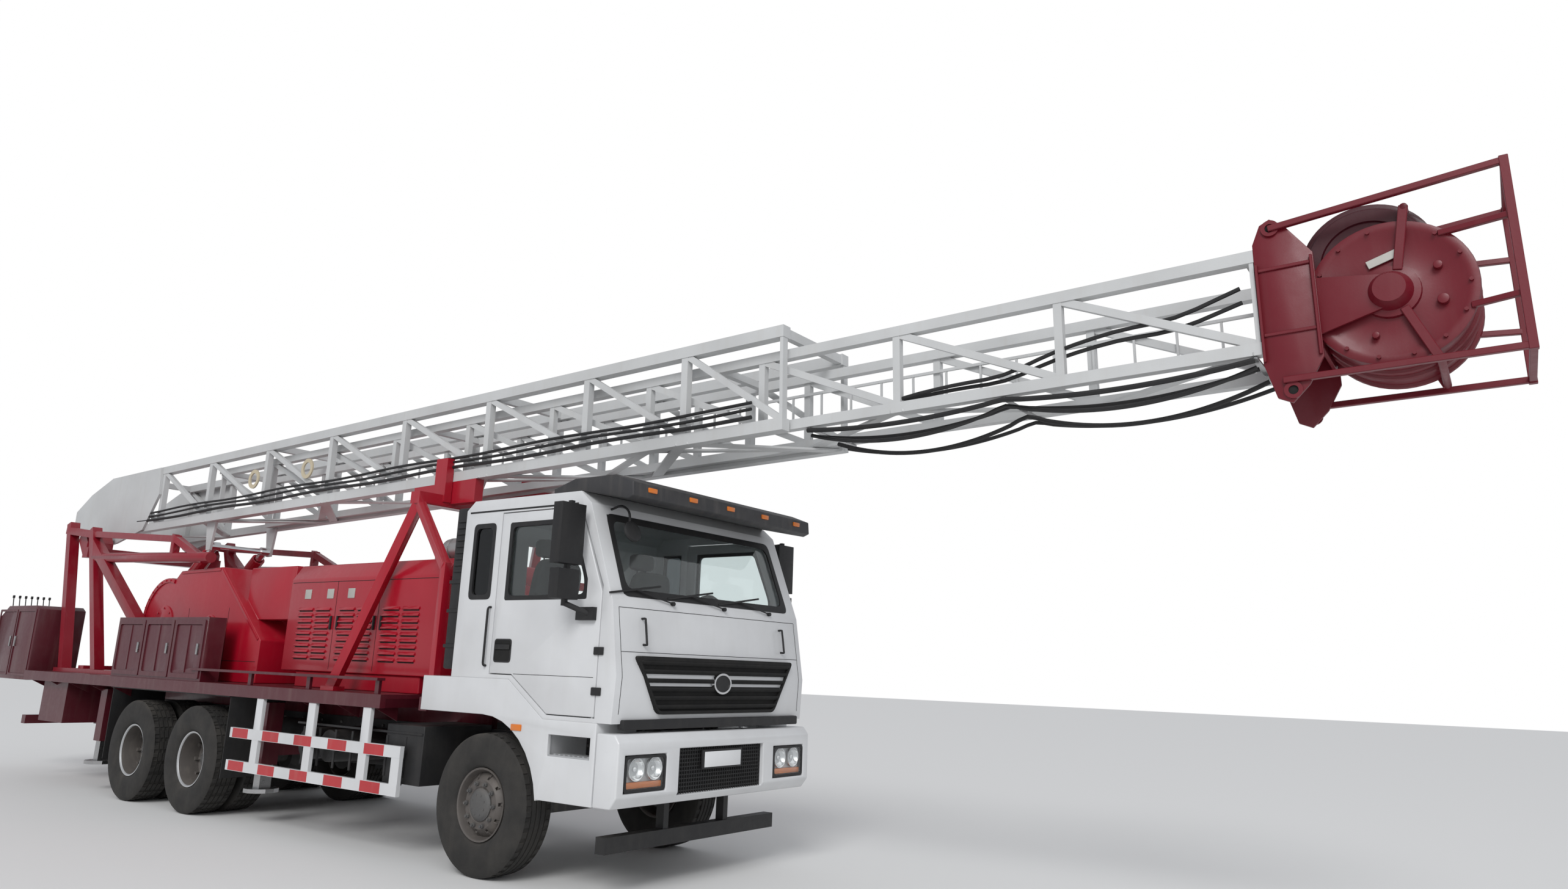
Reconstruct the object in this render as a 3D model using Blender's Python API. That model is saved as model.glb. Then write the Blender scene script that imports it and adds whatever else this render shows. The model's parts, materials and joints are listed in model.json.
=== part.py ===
"""Truck-mounted workover rig in its travelling position.

Metres. +X is forward, +Y is left, +Z is up, the ground is Z = 0, and X = 0, Y = 0 is
the middle of the rig's outline. Stations along the truck are counted from the front axle.
"""

import bmesh
import bpy
from math import atan2, cos, hypot, pi, radians, sin
from mathutils import Matrix, Vector

# ---- driving sizes ----
gap = 0.0003                       # left between pieces that touch
running_gap = 0.006                # left between pieces that move past each other

front_axle = 1.84
middle_axle = front_axle - 4.81
rear_axle = front_axle - 6.21
tyre_radius = 0.56
wheel_steps = 24                   # flats round a tyre
tyre_width = 0.315
rim_radius = 0.28
axle_height = tyre_radius
front_track = 2.10                 # between the middles of the front tyres
dual_track = 1.775                 # between the middles of the twin pairs
dual_spacing = 0.35                # between the two tyres of a pair
kingpin_y = 0.90
kingpin_half = 0.10                # half the height of the axle's eye
spring_half = 0.80                 # half the length of a front spring
bowl_radius = 0.21
steer_flange_y = 0.985

rail_y = 0.38                      # middle of a chassis rail
rail_width = 0.08
rail_low = 0.80
rail_high = 1.08
rail_back = front_axle - 9.45

deck_low = 1.25
deck_high = 1.37
deck_half = 1.25
deck_front = front_axle - 1.41
deck_back = front_axle - 9.55

cab_half = 1.235
cab_back = front_axle - 0.46
cab_front = front_axle + 1.48
cab_floor = 1.27
cab_side_floor = 1.56              # over the front wheels
cab_roof = 3.06
cab_wall = 0.05
door_front = front_axle + 1.27
door_back = front_axle + 0.03
door_high = 2.93
door_low = 1.31
door_gap = 0.008
sill_high = 2.20                   # lower edge of the side windows
window_high = 2.84
screen_half = 1.09
screen_low = 2.24
screen_high = 2.88
glass = 0.006
fender_inner = 0.80                # how far in the front mudguards reach
bumper_front = front_axle + 1.56
bumper_wall = 0.08
rail_front = bumper_front - bumper_wall - gap
bumper_back = front_axle + 1.325
bumper_low = 0.67
bumper_high = 1.20

cover_half = 0.84                  # engine and winch covers
cover_front = front_axle - 1.20
cover_back = front_axle - 3.88
cover_low = 1.53
cover_high = 2.65

frame_y = 0.92                     # middle of the rear frame's side
frame_bar = 0.12

hinge_x = front_axle - 9.40        # the mast turns here
hinge_z = 3.22
lug_y = 0.58                       # outer face of a hinge lug
mast_pitch = radians(1.4)          # nose up on its rest
mast_half = 0.50                   # outer face of the lower section
mast_low = 0.06                    # lower chord's underside above the hinge line
mast_high = 0.94                   # upper chord's top above the hinge line
mast_tail = 1.40                   # foot behind the hinge
mast_length = 11.80                # hinge to the end of the lower section
chord = 0.10
post = 0.07
top_half = 0.37                    # outer face of the upper section
top_low = 0.087
top_high = 0.77
top_tail = 2.60                    # hidden end of the upper section, from the hinge
top_end = 15.30                    # hinge to the crown plates
top_chord = 0.08

rest_x = front_axle - 1.80         # where the mast lies on its front support
rest_z = 3.20

raise_base = (front_axle - 8.70, 1.55)     # foot of the raising cylinders, x and z
raise_pin = (2.60, -0.24)                  # their rod pins on the mast, along and above
raise_y = 0.33
eye_half = 0.055                   # half the width of a rod's eye

front_jack = (front_axle - 3.70, 0.97)     # x and y of a jack
rear_jack = (front_axle - 7.42, 1.00)
jack_wide = 0.17
jack_leg = 0.12
jack_top = 1.20
jack_low = 0.58
foot_low = 0.31

# ---- finishes: colour, roughness, metallic ----
finishes = {
    "white_paint": ((0.86, 0.87, 0.87), 0.35, 0.0),
    "red_paint": ((0.50, 0.015, 0.03), 0.35, 0.0),
    "maroon_paint": ((0.16, 0.012, 0.022), 0.4, 0.0),
    "mast_paint": ((0.62, 0.62, 0.60), 0.45, 0.0),
    "frame_paint": ((0.02, 0.02, 0.022), 0.5, 0.0),
    "black_plastic": ((0.025, 0.025, 0.027), 0.6, 0.0),
    "tyre_rubber": ((0.03, 0.028, 0.027), 0.85, 0.0),
    "wheel_paint": ((0.30, 0.27, 0.24), 0.5, 0.3),
    "bare_steel": ((0.55, 0.55, 0.55), 0.3, 1.0),
    "tank_metal": ((0.62, 0.62, 0.62), 0.35, 0.9),
    "clear_glass": ((0.20, 0.23, 0.24), 0.05, 0.0),
    "seat_cloth": ((0.10, 0.10, 0.11), 0.9, 0.0),
    "lamp_glass": ((0.80, 0.80, 0.80), 0.1, 0.2),
    "cast_grey": ((0.22, 0.22, 0.22), 0.6, 0.4),
}


def finish_of(name):
    if name not in bpy.data.materials:
        colour, roughness, metallic = finishes[name]
        made = bpy.data.materials.new(name)
        made.use_nodes = True
        shader = made.node_tree.nodes["Principled BSDF"]
        shader.inputs["Base Color"].default_value = (*colour, 1.0)
        shader.inputs["Roughness"].default_value = roughness
        shader.inputs["Metallic"].default_value = metallic
        made.diffuse_color = (*colour, 1.0)
    return bpy.data.materials[name]


# ---- simple shapes, each its own bmesh ----
def box(x0, x1, y0, y1, z0, z1):
    bm = bmesh.new()
    bmesh.ops.create_cube(bm, size=1.0)
    size = Vector((abs(x1 - x0), abs(y1 - y0), abs(z1 - z0)))
    middle = Vector((x0 + x1, y0 + y1, z0 + z1)) / 2
    bmesh.ops.scale(bm, vec=size, verts=bm.verts)
    bmesh.ops.translate(bm, vec=middle, verts=bm.verts)
    return bm


def beam(start, end, wide, tall):
    """Square bar between two points; wide is across, tall is in the upright plane."""
    start, end = Vector(start), Vector(end)
    along = (end - start).normalized()
    side = along.cross(Vector((0, 0, 1)))
    if side.length < 0.01:
        side = Vector((0, 1, 0))
    side.normalize()
    up = side.cross(along)
    bm = bmesh.new()
    bmesh.ops.create_cube(bm, size=1.0)
    bmesh.ops.scale(bm, vec=((end - start).length, wide, tall), verts=bm.verts)
    turn = Matrix((along, side, up)).transposed().to_4x4()
    bmesh.ops.transform(bm, matrix=Matrix.Translation((start + end) / 2) @ turn, verts=bm.verts)
    bmesh.ops.recalc_face_normals(bm, faces=bm.faces)
    return bm


def tube(start, end, radius, sides=12, end_radius=None):
    """Solid round bar, or a cone when end_radius differs; a flat side faces down."""
    start, end = Vector(start), Vector(end)
    along = (end - start).normalized()
    bm = bmesh.new()
    bmesh.ops.create_cone(
        bm, cap_ends=True, segments=sides, radius1=radius,
        radius2=radius if end_radius is None else end_radius, depth=(end - start).length)
    turn = Vector((0, 0, 1)).rotation_difference(along).to_matrix().to_4x4()
    half_step = Matrix.Rotation(pi / sides, 4, "Z")
    place = Matrix.Translation((start + end) / 2) @ turn @ half_step
    bmesh.ops.transform(bm, matrix=place, verts=bm.verts)
    return bm


def slab(outline, y0, y1):
    """Outline of (x, z) points, drawn across from y0 to y1."""
    bm = bmesh.new()
    face = bm.faces.new([bm.verts.new((x, y0, z)) for x, z in outline])
    made = bmesh.ops.extrude_face_region(bm, geom=[face])
    moved = [item for item in made["geom"] if isinstance(item, bmesh.types.BMVert)]
    bmesh.ops.translate(bm, vec=(0, y1 - y0, 0), verts=moved)
    bmesh.ops.recalc_face_normals(bm, faces=bm.faces)
    return bm


def plate(outline, x0, x1):
    """Outline of (y, z) points, drawn along from x0 to x1."""
    bm = bmesh.new()
    face = bm.faces.new([bm.verts.new((x0, y, z)) for y, z in outline])
    made = bmesh.ops.extrude_face_region(bm, geom=[face])
    moved = [item for item in made["geom"] if isinstance(item, bmesh.types.BMVert)]
    bmesh.ops.translate(bm, vec=(x1 - x0, 0, 0), verts=moved)
    bmesh.ops.recalc_face_normals(bm, faces=bm.faces)
    return bm


def turned(outline, centre, outward, segments):
    """Outline of (offset, radius) points spun about the Y line through centre.

    Offsets grow towards outward, +1 or -1; a point with radius 0 lies on the axis. The
    widest ring is drawn with a flat at the bottom, at its true radius.
    """
    grow = 1 / cos(pi / segments)
    bm = bmesh.new()
    start = Vector((0, 0, -1))
    rows = []
    for step in range(segments):
        turn = Matrix.Rotation((step + 0.5) * 2 * pi / segments, 3, "Y")
        row = []
        for offset, radius in outline:
            place = turn @ (start * radius * grow) + Vector((0, offset * outward, 0))
            row.append(bm.verts.new(place))
        rows.append(row)
    count = len(outline)
    closed = outline[0][1] > 0 and outline[-1][1] > 0
    for step in range(segments):
        here, there = rows[step], rows[(step + 1) % segments]
        for k in range(count if closed else count - 1):
            bm.faces.new((here[k], here[(k + 1) % count], there[(k + 1) % count], there[k]))
    bmesh.ops.remove_doubles(bm, verts=bm.verts, dist=0.00001)
    bmesh.ops.translate(bm, vec=centre, verts=bm.verts)
    bmesh.ops.recalc_face_normals(bm, faces=bm.faces)
    return bm


def arc(x, z, radius, start, end, steps):
    """Points of an arc in degrees, counted from +X towards +Z."""
    angles = [radians(start + (end - start) * k / steps) for k in range(steps + 1)]
    return [(x + radius * cos(a), z + radius * sin(a)) for a in angles]


def mirrored(shapes):
    """The same shapes on the other side of the truck's middle plane."""
    others = []
    for shape in shapes:
        other = shape.copy()
        bmesh.ops.scale(other, vec=(1, -1, 1), verts=other.verts)
        bmesh.ops.reverse_faces(other, faces=other.faces)
        others.append(other)
    return others


def both(shapes):
    return shapes + mirrored(shapes)


# ---- objects ----
def mesh_of(name, shapes, origin):
    whole = bpy.data.meshes.new(name)
    joined = bmesh.new()
    for shape in shapes:
        part = bpy.data.meshes.new("part")
        shape.to_mesh(part)
        joined.from_mesh(part)
        bpy.data.meshes.remove(part)
    bmesh.ops.translate(joined, vec=-Vector(origin), verts=joined.verts)
    joined.to_mesh(whole)
    joined.free()
    return whole


def helper(name, shapes, origin):
    made = bpy.data.objects.new(name, mesh_of(name, shapes, origin))
    made.location = origin
    made.hide_render = True
    made.display_type = "WIRE"
    bpy.context.scene.collection.objects.link(made)
    return made


def node(name, shapes, finish, cuts=(), added=(), origin=(0, 0, 0), carrier=None):
    """One closed piece: the shapes joined, less the cuts, then what is added after them."""
    made = bpy.data.objects.new(name, mesh_of(name, shapes[:1], origin))
    bpy.context.scene.collection.objects.link(made)
    made.location = origin
    made.data.materials.append(finish_of(finish))
    jobs = (("join", "UNION", shapes[1:]), ("cut", "DIFFERENCE", cuts), ("add", "UNION", added))
    for word, operation, others in jobs:
        if others:
            other = helper(f"{name}_{word}", others, origin)
            change = made.modifiers.new(word, "BOOLEAN")
            change.operation = operation
            change.object = other
            change.use_self = len(others) > 1
            if carrier:
                hang(other, carrier)
    if carrier:
        hang(made, carrier)
    return made


def hang(thing, carrier):
    place = Vector(thing.location)
    thing.parent = carrier
    thing.location = place - world_place(carrier)


def world_place(thing):
    place = Vector(thing.location)
    if thing.parent:
        place += world_place(thing.parent)
    return place


def pivot(name, place, carrier=None):
    """Empty on a joint's axis, which carries what the joint moves."""
    made = bpy.data.objects.new(name, None)
    made.location = place
    bpy.context.scene.collection.objects.link(made)
    if carrier:
        hang(made, carrier)
    return made


# ---- chassis and running gear ----
def build_chassis():
    rails = both([box(rail_back, rail_front, rail_y - rail_width / 2, rail_y + rail_width / 2,
                      rail_low, rail_high)])
    cross_stations = (1.10, -1.25, -3.30, -5.51, -7.40, -9.25)
    reach = rail_y - 0.01
    ties = [box(front_axle + s - 0.05, front_axle + s + 0.05, -reach, reach, 0.86, 1.02)
            for s in cross_stations]
    hangers = both([box(front_axle + s * (spring_half + gap), front_axle + s * 0.90,
                        -rail_y - 0.035, -rail_y + 0.035, 0.64, rail_low + 0.01)
                    for s in (-1, 1)])
    stays = both([box(front_axle + 1.22, front_axle + 1.30, -rail_y - 0.03, -rail_y + 0.03,
                      0.40, rail_low + 0.01)])
    guard = [box(front_axle + 1.21, front_axle + 1.31, -1.06, 1.06, 0.32, 0.44)]
    cab_posts = both([box(front_axle + x - 0.05, front_axle + x + 0.05, -rail_y - 0.035,
                          -rail_y + 0.035, rail_high - 0.01, top - gap)
                      for x, top in ((1.10, cab_floor), (-0.35, cab_side_floor))])
    node("chassis_frame", rails[:1] + ties + rails[1:] + hangers + stays + guard + cab_posts,
         "frame_paint")


def jack_housing(x, y):
    return box(x - jack_wide / 2, x + jack_wide / 2, y - jack_wide / 2, y + jack_wide / 2,
               jack_low, jack_top)


def jack_bore(x, y):
    half = jack_leg / 2 + running_gap
    return box(x - half, x + half, y - half, y + half, jack_low - 0.1, jack_top - 0.06)


def build_jacks():
    low, high = 0.67, rail_low - gap
    for place, (x, y), finish in (("front", front_jack, "red_paint"),
                                  ("rear", rear_jack, "frame_paint")):
        across = box(x - 0.07, x + 0.07, -y + 0.05, y - 0.05, low, high)
        housings = both([jack_housing(x, -y)])
        bores = both([jack_bore(x, -y)])
        extra = []
        if place == "rear":
            back = front_axle - 9.40
            spine = both([box(back, x - 0.06, -0.46, -0.34, low + 0.02, high - 0.02)])
            bar = [box(back - 0.10, back + 0.02, -1.20, 1.20, low + 0.01, high - 0.01)]
            lockers = both([box(front_axle - 9.10, front_axle - 8.35, -1.15, -rail_y
                                - rail_width / 2 - 0.01, 0.74, deck_low - gap)])
            struts = both([box(front_axle - 8.80, front_axle - 8.70, -0.60, -0.40, 0.70, 0.76)])
            extra = spine + bar + lockers + struts
        node(f"{place}_jack_beam", [across] + housings + extra, finish, cuts=bores)
        for side, s in (("right", -1), ("left", 1)):
            centre = (x, s * y, jack_top - 0.06)
            slide = pivot(f"{place}_jack_{side}", centre)
            half = jack_leg / 2
            leg = box(x - half, x + half, s * y - half, s * y + half, foot_low + 0.02,
                      jack_top - 0.06 - gap)
            shoe = tube((x, s * y, foot_low), (x, s * y, foot_low + 0.04), 0.17, 12)
            node(f"{place}_jack_leg_{side}", [leg, shoe], "red_paint", origin=centre,
                 carrier=slide)


def leaf(x, y, half_length, low, rise, thick, half_width):
    """A leaf spring: arc-shaped bundle, its ends higher than its middle by rise."""
    radius = (half_length**2 + rise**2) / (2 * rise)
    spread = 180 / pi * atan2(half_length, radius - rise)
    under = arc(x, low + radius, radius, 270 - spread, 270 + spread, 6)
    over = arc(x, low + radius, radius - thick, 270 + spread, 270 - spread, 6)
    return slab(under + over, y - half_width, y + half_width)


def build_front_axle():
    low, high = 0.44, 0.54
    middle = box(front_axle - 0.05, front_axle + 0.05, -0.62, 0.62, low, high)
    ends = both([
        beam((front_axle, -0.58, low + 0.05), (front_axle, -kingpin_y, axle_height), 0.10, 0.10),
        tube((front_axle, -kingpin_y, axle_height - kingpin_half),
             (front_axle, -kingpin_y, axle_height + kingpin_half), 0.055)])
    seats = both([box(front_axle - 0.10, front_axle + 0.10, -rail_y - 0.05, -rail_y + 0.05,
                      high - 0.01, high + 0.03)])
    springs = both([leaf(front_axle, -rail_y, spring_half, high + 0.02, 0.12, 0.06, 0.035)])
    node("front_axle", [middle] + ends + seats + springs, "frame_paint")


def build_rear_axles():
    flange = dual_track / 2 - 0.09
    for name, x in (("middle_axle", middle_axle), ("rear_axle", rear_axle)):
        casing = tube((x, -0.65, axle_height), (x, 0.65, axle_height), 0.075, 12)
        bowl = turned([(-0.13, 0), (-0.13, 0.15), (-0.07, bowl_radius),
                       (0.07, bowl_radius), (0.13, 0.15), (0.13, 0)],
                      (x, 0, axle_height), 1, 16)
        drums = both([tube((x, -flange + gap, axle_height), (x, -0.60, axle_height), 0.20, 16)])
        seats = both([box(x - 0.09, x + 0.09, -0.51, -0.41, axle_height, axle_height + 0.12)])
        shaft = []
        if name == "rear_axle":
            shaft = [tube((x + 0.15, 0, axle_height), (middle_axle - bowl_radius - gap, 0,
                                                       axle_height), 0.05, 12)]
        node(name, [casing, bowl] + drums + seats + shaft, "frame_paint")
    centre = (middle_axle + rear_axle) / 2
    reach = (middle_axle - rear_axle) / 2
    trunnion = tube((centre, -0.54, 0.725), (centre, 0.54, 0.725), 0.07, 12)
    seat_top = axle_height + 0.12 + gap
    packs = both([slab([(centre - reach - 0.09, seat_top), (centre - reach + 0.10, seat_top),
                        (centre - 0.25, 0.76), (centre + 0.25, 0.76),
                        (centre + reach - 0.10, seat_top), (centre + reach + 0.09, seat_top),
                        (centre + reach + 0.09, seat_top + 0.035), (centre + 0.25, 0.90),
                        (centre - 0.25, 0.90), (centre - reach - 0.09, seat_top + 0.035)],
                       -0.505, -0.425)])
    feet = both([box(centre - 0.12, centre + 0.12, -0.42, -rail_y - 0.02, 0.70, rail_low - gap),
                 box(centre - 0.12, centre + 0.12, -0.44, -0.34, 0.70, rail_low - gap)])
    node("rear_suspension", [trunnion] + packs + feet, "frame_paint")


def tyre_outline(offset):
    """Outer outline of one tyre from its inner bead to its outer bead."""
    half = tyre_width / 2
    return [(offset - half + 0.03, rim_radius), (offset - half, rim_radius + 0.09),
            (offset - half, tyre_radius - 0.09), (offset - half + 0.045, tyre_radius),
            (offset + half - 0.045, tyre_radius), (offset + half, tyre_radius - 0.09),
            (offset + half, rim_radius + 0.09), (offset + half - 0.03, rim_radius)]


def build_wheels():
    for side, outward in (("right", -1), ("left", 1)):
        turn = pivot(f"steer_{side}", (front_axle, kingpin_y * outward, axle_height))
        fork_y = kingpin_y * outward
        face_y = steer_flange_y * outward
        arms = [box(front_axle - 0.06, front_axle + 0.06, fork_y - 0.06 * outward, face_y,
                    axle_height + s * (kingpin_half + gap), axle_height + s * 0.15)
                for s in (-1, 1)]
        web = box(front_axle - 0.07, front_axle + 0.07, fork_y + 0.062 * outward,
                  face_y - 0.001 * outward, axle_height - 0.13, axle_height + 0.13)
        drum = tube((front_axle, fork_y + 0.064 * outward, axle_height),
                    (front_axle, face_y, axle_height), 0.19, 20)
        node(f"front_knuckle_{side}", [web, drum] + arms, "frame_paint",
             origin=(front_axle, fork_y, axle_height), carrier=turn)
        centre = (front_axle, front_track / 2 * outward, axle_height)
        spin = pivot(f"front_wheel_{side}", centre, turn)
        node(f"front_tyre_{side}", [turned(tyre_outline(0), centre, outward, wheel_steps)],
             "tyre_rubber", origin=centre, carrier=spin)
        back = steer_flange_y + gap - front_track / 2
        barrel = rim_radius - gap
        rim = [(back, 0), (back, 0.16), (0.03, 0.20), (0.03, 0.262), (-0.125, 0.262),
               (-0.125, barrel), (0.125, barrel), (0.125, 0.262), (0.07, 0.262),
               (0.10, 0.10), (0.155, 0.085), (0.155, 0)]
        node(f"front_rim_{side}", [turned(rim, centre, outward, wheel_steps)], "wheel_paint",
             origin=centre, carrier=spin)
    for place, x in (("middle", middle_axle), ("rear", rear_axle)):
        for side, outward in (("right", -1), ("left", 1)):
            centre = (x, dual_track / 2 * outward, axle_height)
            spin = pivot(f"{place}_wheels_{side}", centre)
            inner = tyre_outline(-dual_spacing / 2)
            outer = tyre_outline(dual_spacing / 2)
            ring = [(inner[-1][0], rim_radius + 0.02), (outer[0][0], rim_radius + 0.02)]
            node(f"{place}_tyres_{side}", [turned(inner[:-1] + ring + outer[1:], centre,
                                                  outward, wheel_steps)],
                 "tyre_rubber", origin=centre, carrier=spin)
            barrel = rim_radius - gap
            reach = dual_spacing / 2 + 0.125
            rim = [(-0.09, 0), (-0.09, 0.17), (-0.02, 0.262), (-reach, 0.262),
                   (-reach, barrel), (reach, barrel), (reach, 0.262), (0.015, 0.262),
                   (0.04, 0.13), (0.20, 0.13), (0.22, 0.09), (0.22, 0)]
            node(f"{place}_rims_{side}", [turned(rim, centre, outward, wheel_steps)],
                 "wheel_paint",
                 origin=centre, carrier=spin)


def build_driveline():
    half = rail_y - rail_width / 2 - gap
    block = box(front_axle - 0.35, front_axle + 0.80, -half, half, 0.60, 1.22)
    box_behind = box(front_axle - 1.15, front_axle - 0.34, -0.20, 0.20, 0.62, 1.00)
    fan = tube((front_axle + 0.79, 0, 0.92), (front_axle + 0.96, 0, 0.92), 0.20, 16)
    radiator = box(front_axle + 0.95, front_axle + 1.04, -half, half, 0.62, 1.22)
    node("truck_engine", [block, box_behind, fan, radiator], "cast_grey")
    start, end = front_axle - 1.15 - gap, middle_axle + bowl_radius + gap
    shaft = [tube((start, 0, 0.69), (start - 0.05, 0, 0.69), 0.06, 12),
             tube((start - 0.03, 0, 0.69), (end + 0.03, 0, axle_height), 0.045, 12),
             tube((end + 0.05, 0, axle_height), (end, 0, axle_height), 0.06, 12)]
    node("drive_shaft", shaft, "frame_paint")


def build_side_boxes():
    inner = rail_y + rail_width / 2 + gap
    battery = box(front_axle - 0.86, front_axle - 1.40, -1.15, -inner, 0.62, 1.12)
    air = [tube((front_axle - x, -1.12, 0.86), (front_axle - x, -inner, 0.86), 0.15, 16)
           for x in (2.35, 2.72)]
    link = box(front_axle - 2.75, front_axle - 1.39, -0.56, -inner, 0.80, 0.90)
    node("battery_box", [battery, link] + air, "tank_metal")
    node("fuel_tank", [box(front_axle - 1.50, front_axle - 2.70, inner, 1.12, 0.60, 1.15)],
         "tank_metal")


# ---- deck ----
def build_deck():
    edges = both([box(deck_back, deck_front, -deck_half, -deck_half + 0.06, deck_low,
                      deck_high - 0.03)])
    top = box(deck_back, deck_front, -deck_half, deck_half, deck_high - 0.04, deck_high)
    stations = [deck_back + (deck_front - deck_back) * k / 6 for k in range(7)]
    bearers = [box(max(x - 0.04, deck_back + 0.003), min(x + 0.04, deck_front - 0.003),
                   -deck_half + 0.01, deck_half - 0.01, deck_low + 0.003, deck_high - 0.01)
               for x in stations]
    sills = both([box(deck_back + 0.02, front_axle - 0.88, -rail_y - 0.035, -rail_y + 0.035,
                      rail_high + gap, deck_high - 0.02)])
    nose = box(front_axle - 0.98, front_axle - 0.87, -1.15, 1.15, deck_low + 0.002,
               deck_high - 0.001)
    strips = both([box(front_axle - 5.0, front_axle - 1.5, -1.245, -1.16, 1.49, 1.515)])
    posts = both([box(front_axle - x - 0.03, front_axle - x + 0.03, -1.20, -1.17,
                      deck_high - 0.01, 1.50) for x in (4.95, 3.8, 2.7, 1.56)])
    lockers = both([box(front_axle - 7.00, front_axle - 4.80, -1.22, -1.02, deck_high - 0.01,
                        2.07)])
    node("deck", [top] + bearers + edges + sills + [nose] + strips + posts + lockers,
         "maroon_paint")


def build_side_guards():
    for side, s in (("right", -1), ("left", 1)):
        outer, inner = s * 1.245, s * 1.205
        front, back = front_axle - 1.04, front_axle - 3.95
        rails = [box(back, front, outer, inner, low, low + 0.10) for low in (0.845, 0.525)]
        stations = (front - 0.06, front_axle - 1.60, front_axle - 2.50, front_axle - 3.45)
        uprights = [box(x - 0.06, x + 0.06, outer - s * 0.002, inner + s * 0.002,
                        0.53, 0.94 if x > deck_front else deck_low - gap) for x in stations]
        node(f"side_guard_{side}", rails[:1] + uprights + rails[1:], "white_paint")
        low, high = 1.19, deck_low - gap
        front, back = middle_axle + 0.70, rear_axle - 0.70
        cover = box(back, front, s * 0.58, s * 1.22, high - 0.012, high)
        flaps = [box(x - 0.006, x + 0.006, s * 0.60, s * 1.20, 0.42, high - 0.002)
                 for x in (front - 0.01, back + 0.01)]
        node(f"rear_mudguard_{side}", [cover] + flaps, "tyre_rubber")


# ---- cab ----
def inner_front(z):
    """X of the inner face of the cab's front wall below the windscreen."""
    return cab_front - cab_wall - (z - 1.62) * 0.09 / 0.56


def cab_outline(inset):
    """The cab's side view, drawn in from the outside by inset."""
    back, front, roof = cab_back + inset, cab_front - inset, cab_roof - inset
    return [(back, cab_side_floor + inset), (front_axle + 0.28 + inset / 2, cab_side_floor + inset),
            (front_axle + 0.72 + inset / 2, cab_floor + inset), (front - 0.02, cab_floor + inset),
            (front, 1.62), (front - 0.09, 2.18), (front - 0.40, roof - 0.10),
            (front - 0.52, roof), (back + 0.10, roof), (back, roof - 0.08)]


def door_outline(grow):
    """The door's side view; grow widens it all round, and more beside and above the hinges."""
    back, front = door_back - grow, door_front + 1.5 * grow
    low, high = door_low - grow, door_high + grow
    return [(back, cab_side_floor + 0.04 - grow), (front_axle + 0.30, cab_side_floor + 0.04 - grow),
            (front_axle + 0.75, low), (front, low), (front, 2.25 + 6 * grow),
            (front - 0.30, high), (back, high)]


def window_outline(inset):
    back, front = front_axle + 0.14 + inset, front_axle + 1.10 - inset
    low, high = sill_high + inset, window_high - inset
    return [(back, low), (front, low), (front, 2.35), (front - 0.20, high), (back, high)]


def build_cab():
    shell = slab(cab_outline(0), -cab_half, cab_half)
    inside = slab(cab_outline(cab_wall), -cab_half + cab_wall, cab_half - cab_wall)
    doors = both([slab(door_outline(door_gap), -cab_half - 0.1, -cab_half + cab_wall + 0.025)])
    screen = box(front_axle + 0.80, front_axle + 1.60, -screen_half, screen_half, screen_low,
                 screen_high)
    rear_window = box(cab_back - 0.1, cab_back + 0.1, -0.55, 0.55, 2.30, 2.75)
    quarters = both([box(front_axle - 0.32, front_axle - 0.06, -cab_half - 0.1,
                         -cab_half + cab_wall + 0.01, sill_high + 0.02, window_high)])
    pin_x, pin_y = door_front - 0.03, cab_half - 0.022
    pins = both([tube((pin_x, -pin_y, cab_floor + 0.02), (pin_x, -pin_y, door_low - gap),
                      0.012, 8)])
    node("cab_shell", [shell], "white_paint",
         cuts=[inside, screen, rear_window] + doors + quarters, added=pins)
    slope = 0.31 / 0.78
    low, high = screen_low + gap, screen_high - gap
    x_low = cab_front - 0.09 - (low - 2.18) * slope - 0.02
    x_high = cab_front - 0.09 - (high - 2.18) * slope - 0.02
    pane = slab([(x_low - glass, low), (x_low, low), (x_high, high), (x_high - glass, high)],
                -screen_half + gap, screen_half - gap)
    node("windscreen", [pane], "clear_glass")


def build_doors():
    for side, s in (("right", -1), ("left", 1)):
        hinge = (door_front - 0.03, s * (cab_half - 0.022), 2.0)
        swing = pivot(f"door_hinge_{side}", hinge)
        outer, inner = s * cab_half, s * (cab_half - cab_wall)
        panel = slab(door_outline(0), min(outer, inner), max(outer, inner))
        window = slab(window_outline(0), s * 1.1, s * 1.3)
        node(f"door_{side}", [panel], "white_paint", cuts=[window], origin=hinge, carrier=swing)
        middle = s * (cab_half - cab_wall / 2)
        node(f"door_glass_{side}", [slab(window_outline(gap), middle - glass / 2,
                                         middle + glass / 2)],
             "clear_glass", origin=hinge, carrier=swing)


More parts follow.
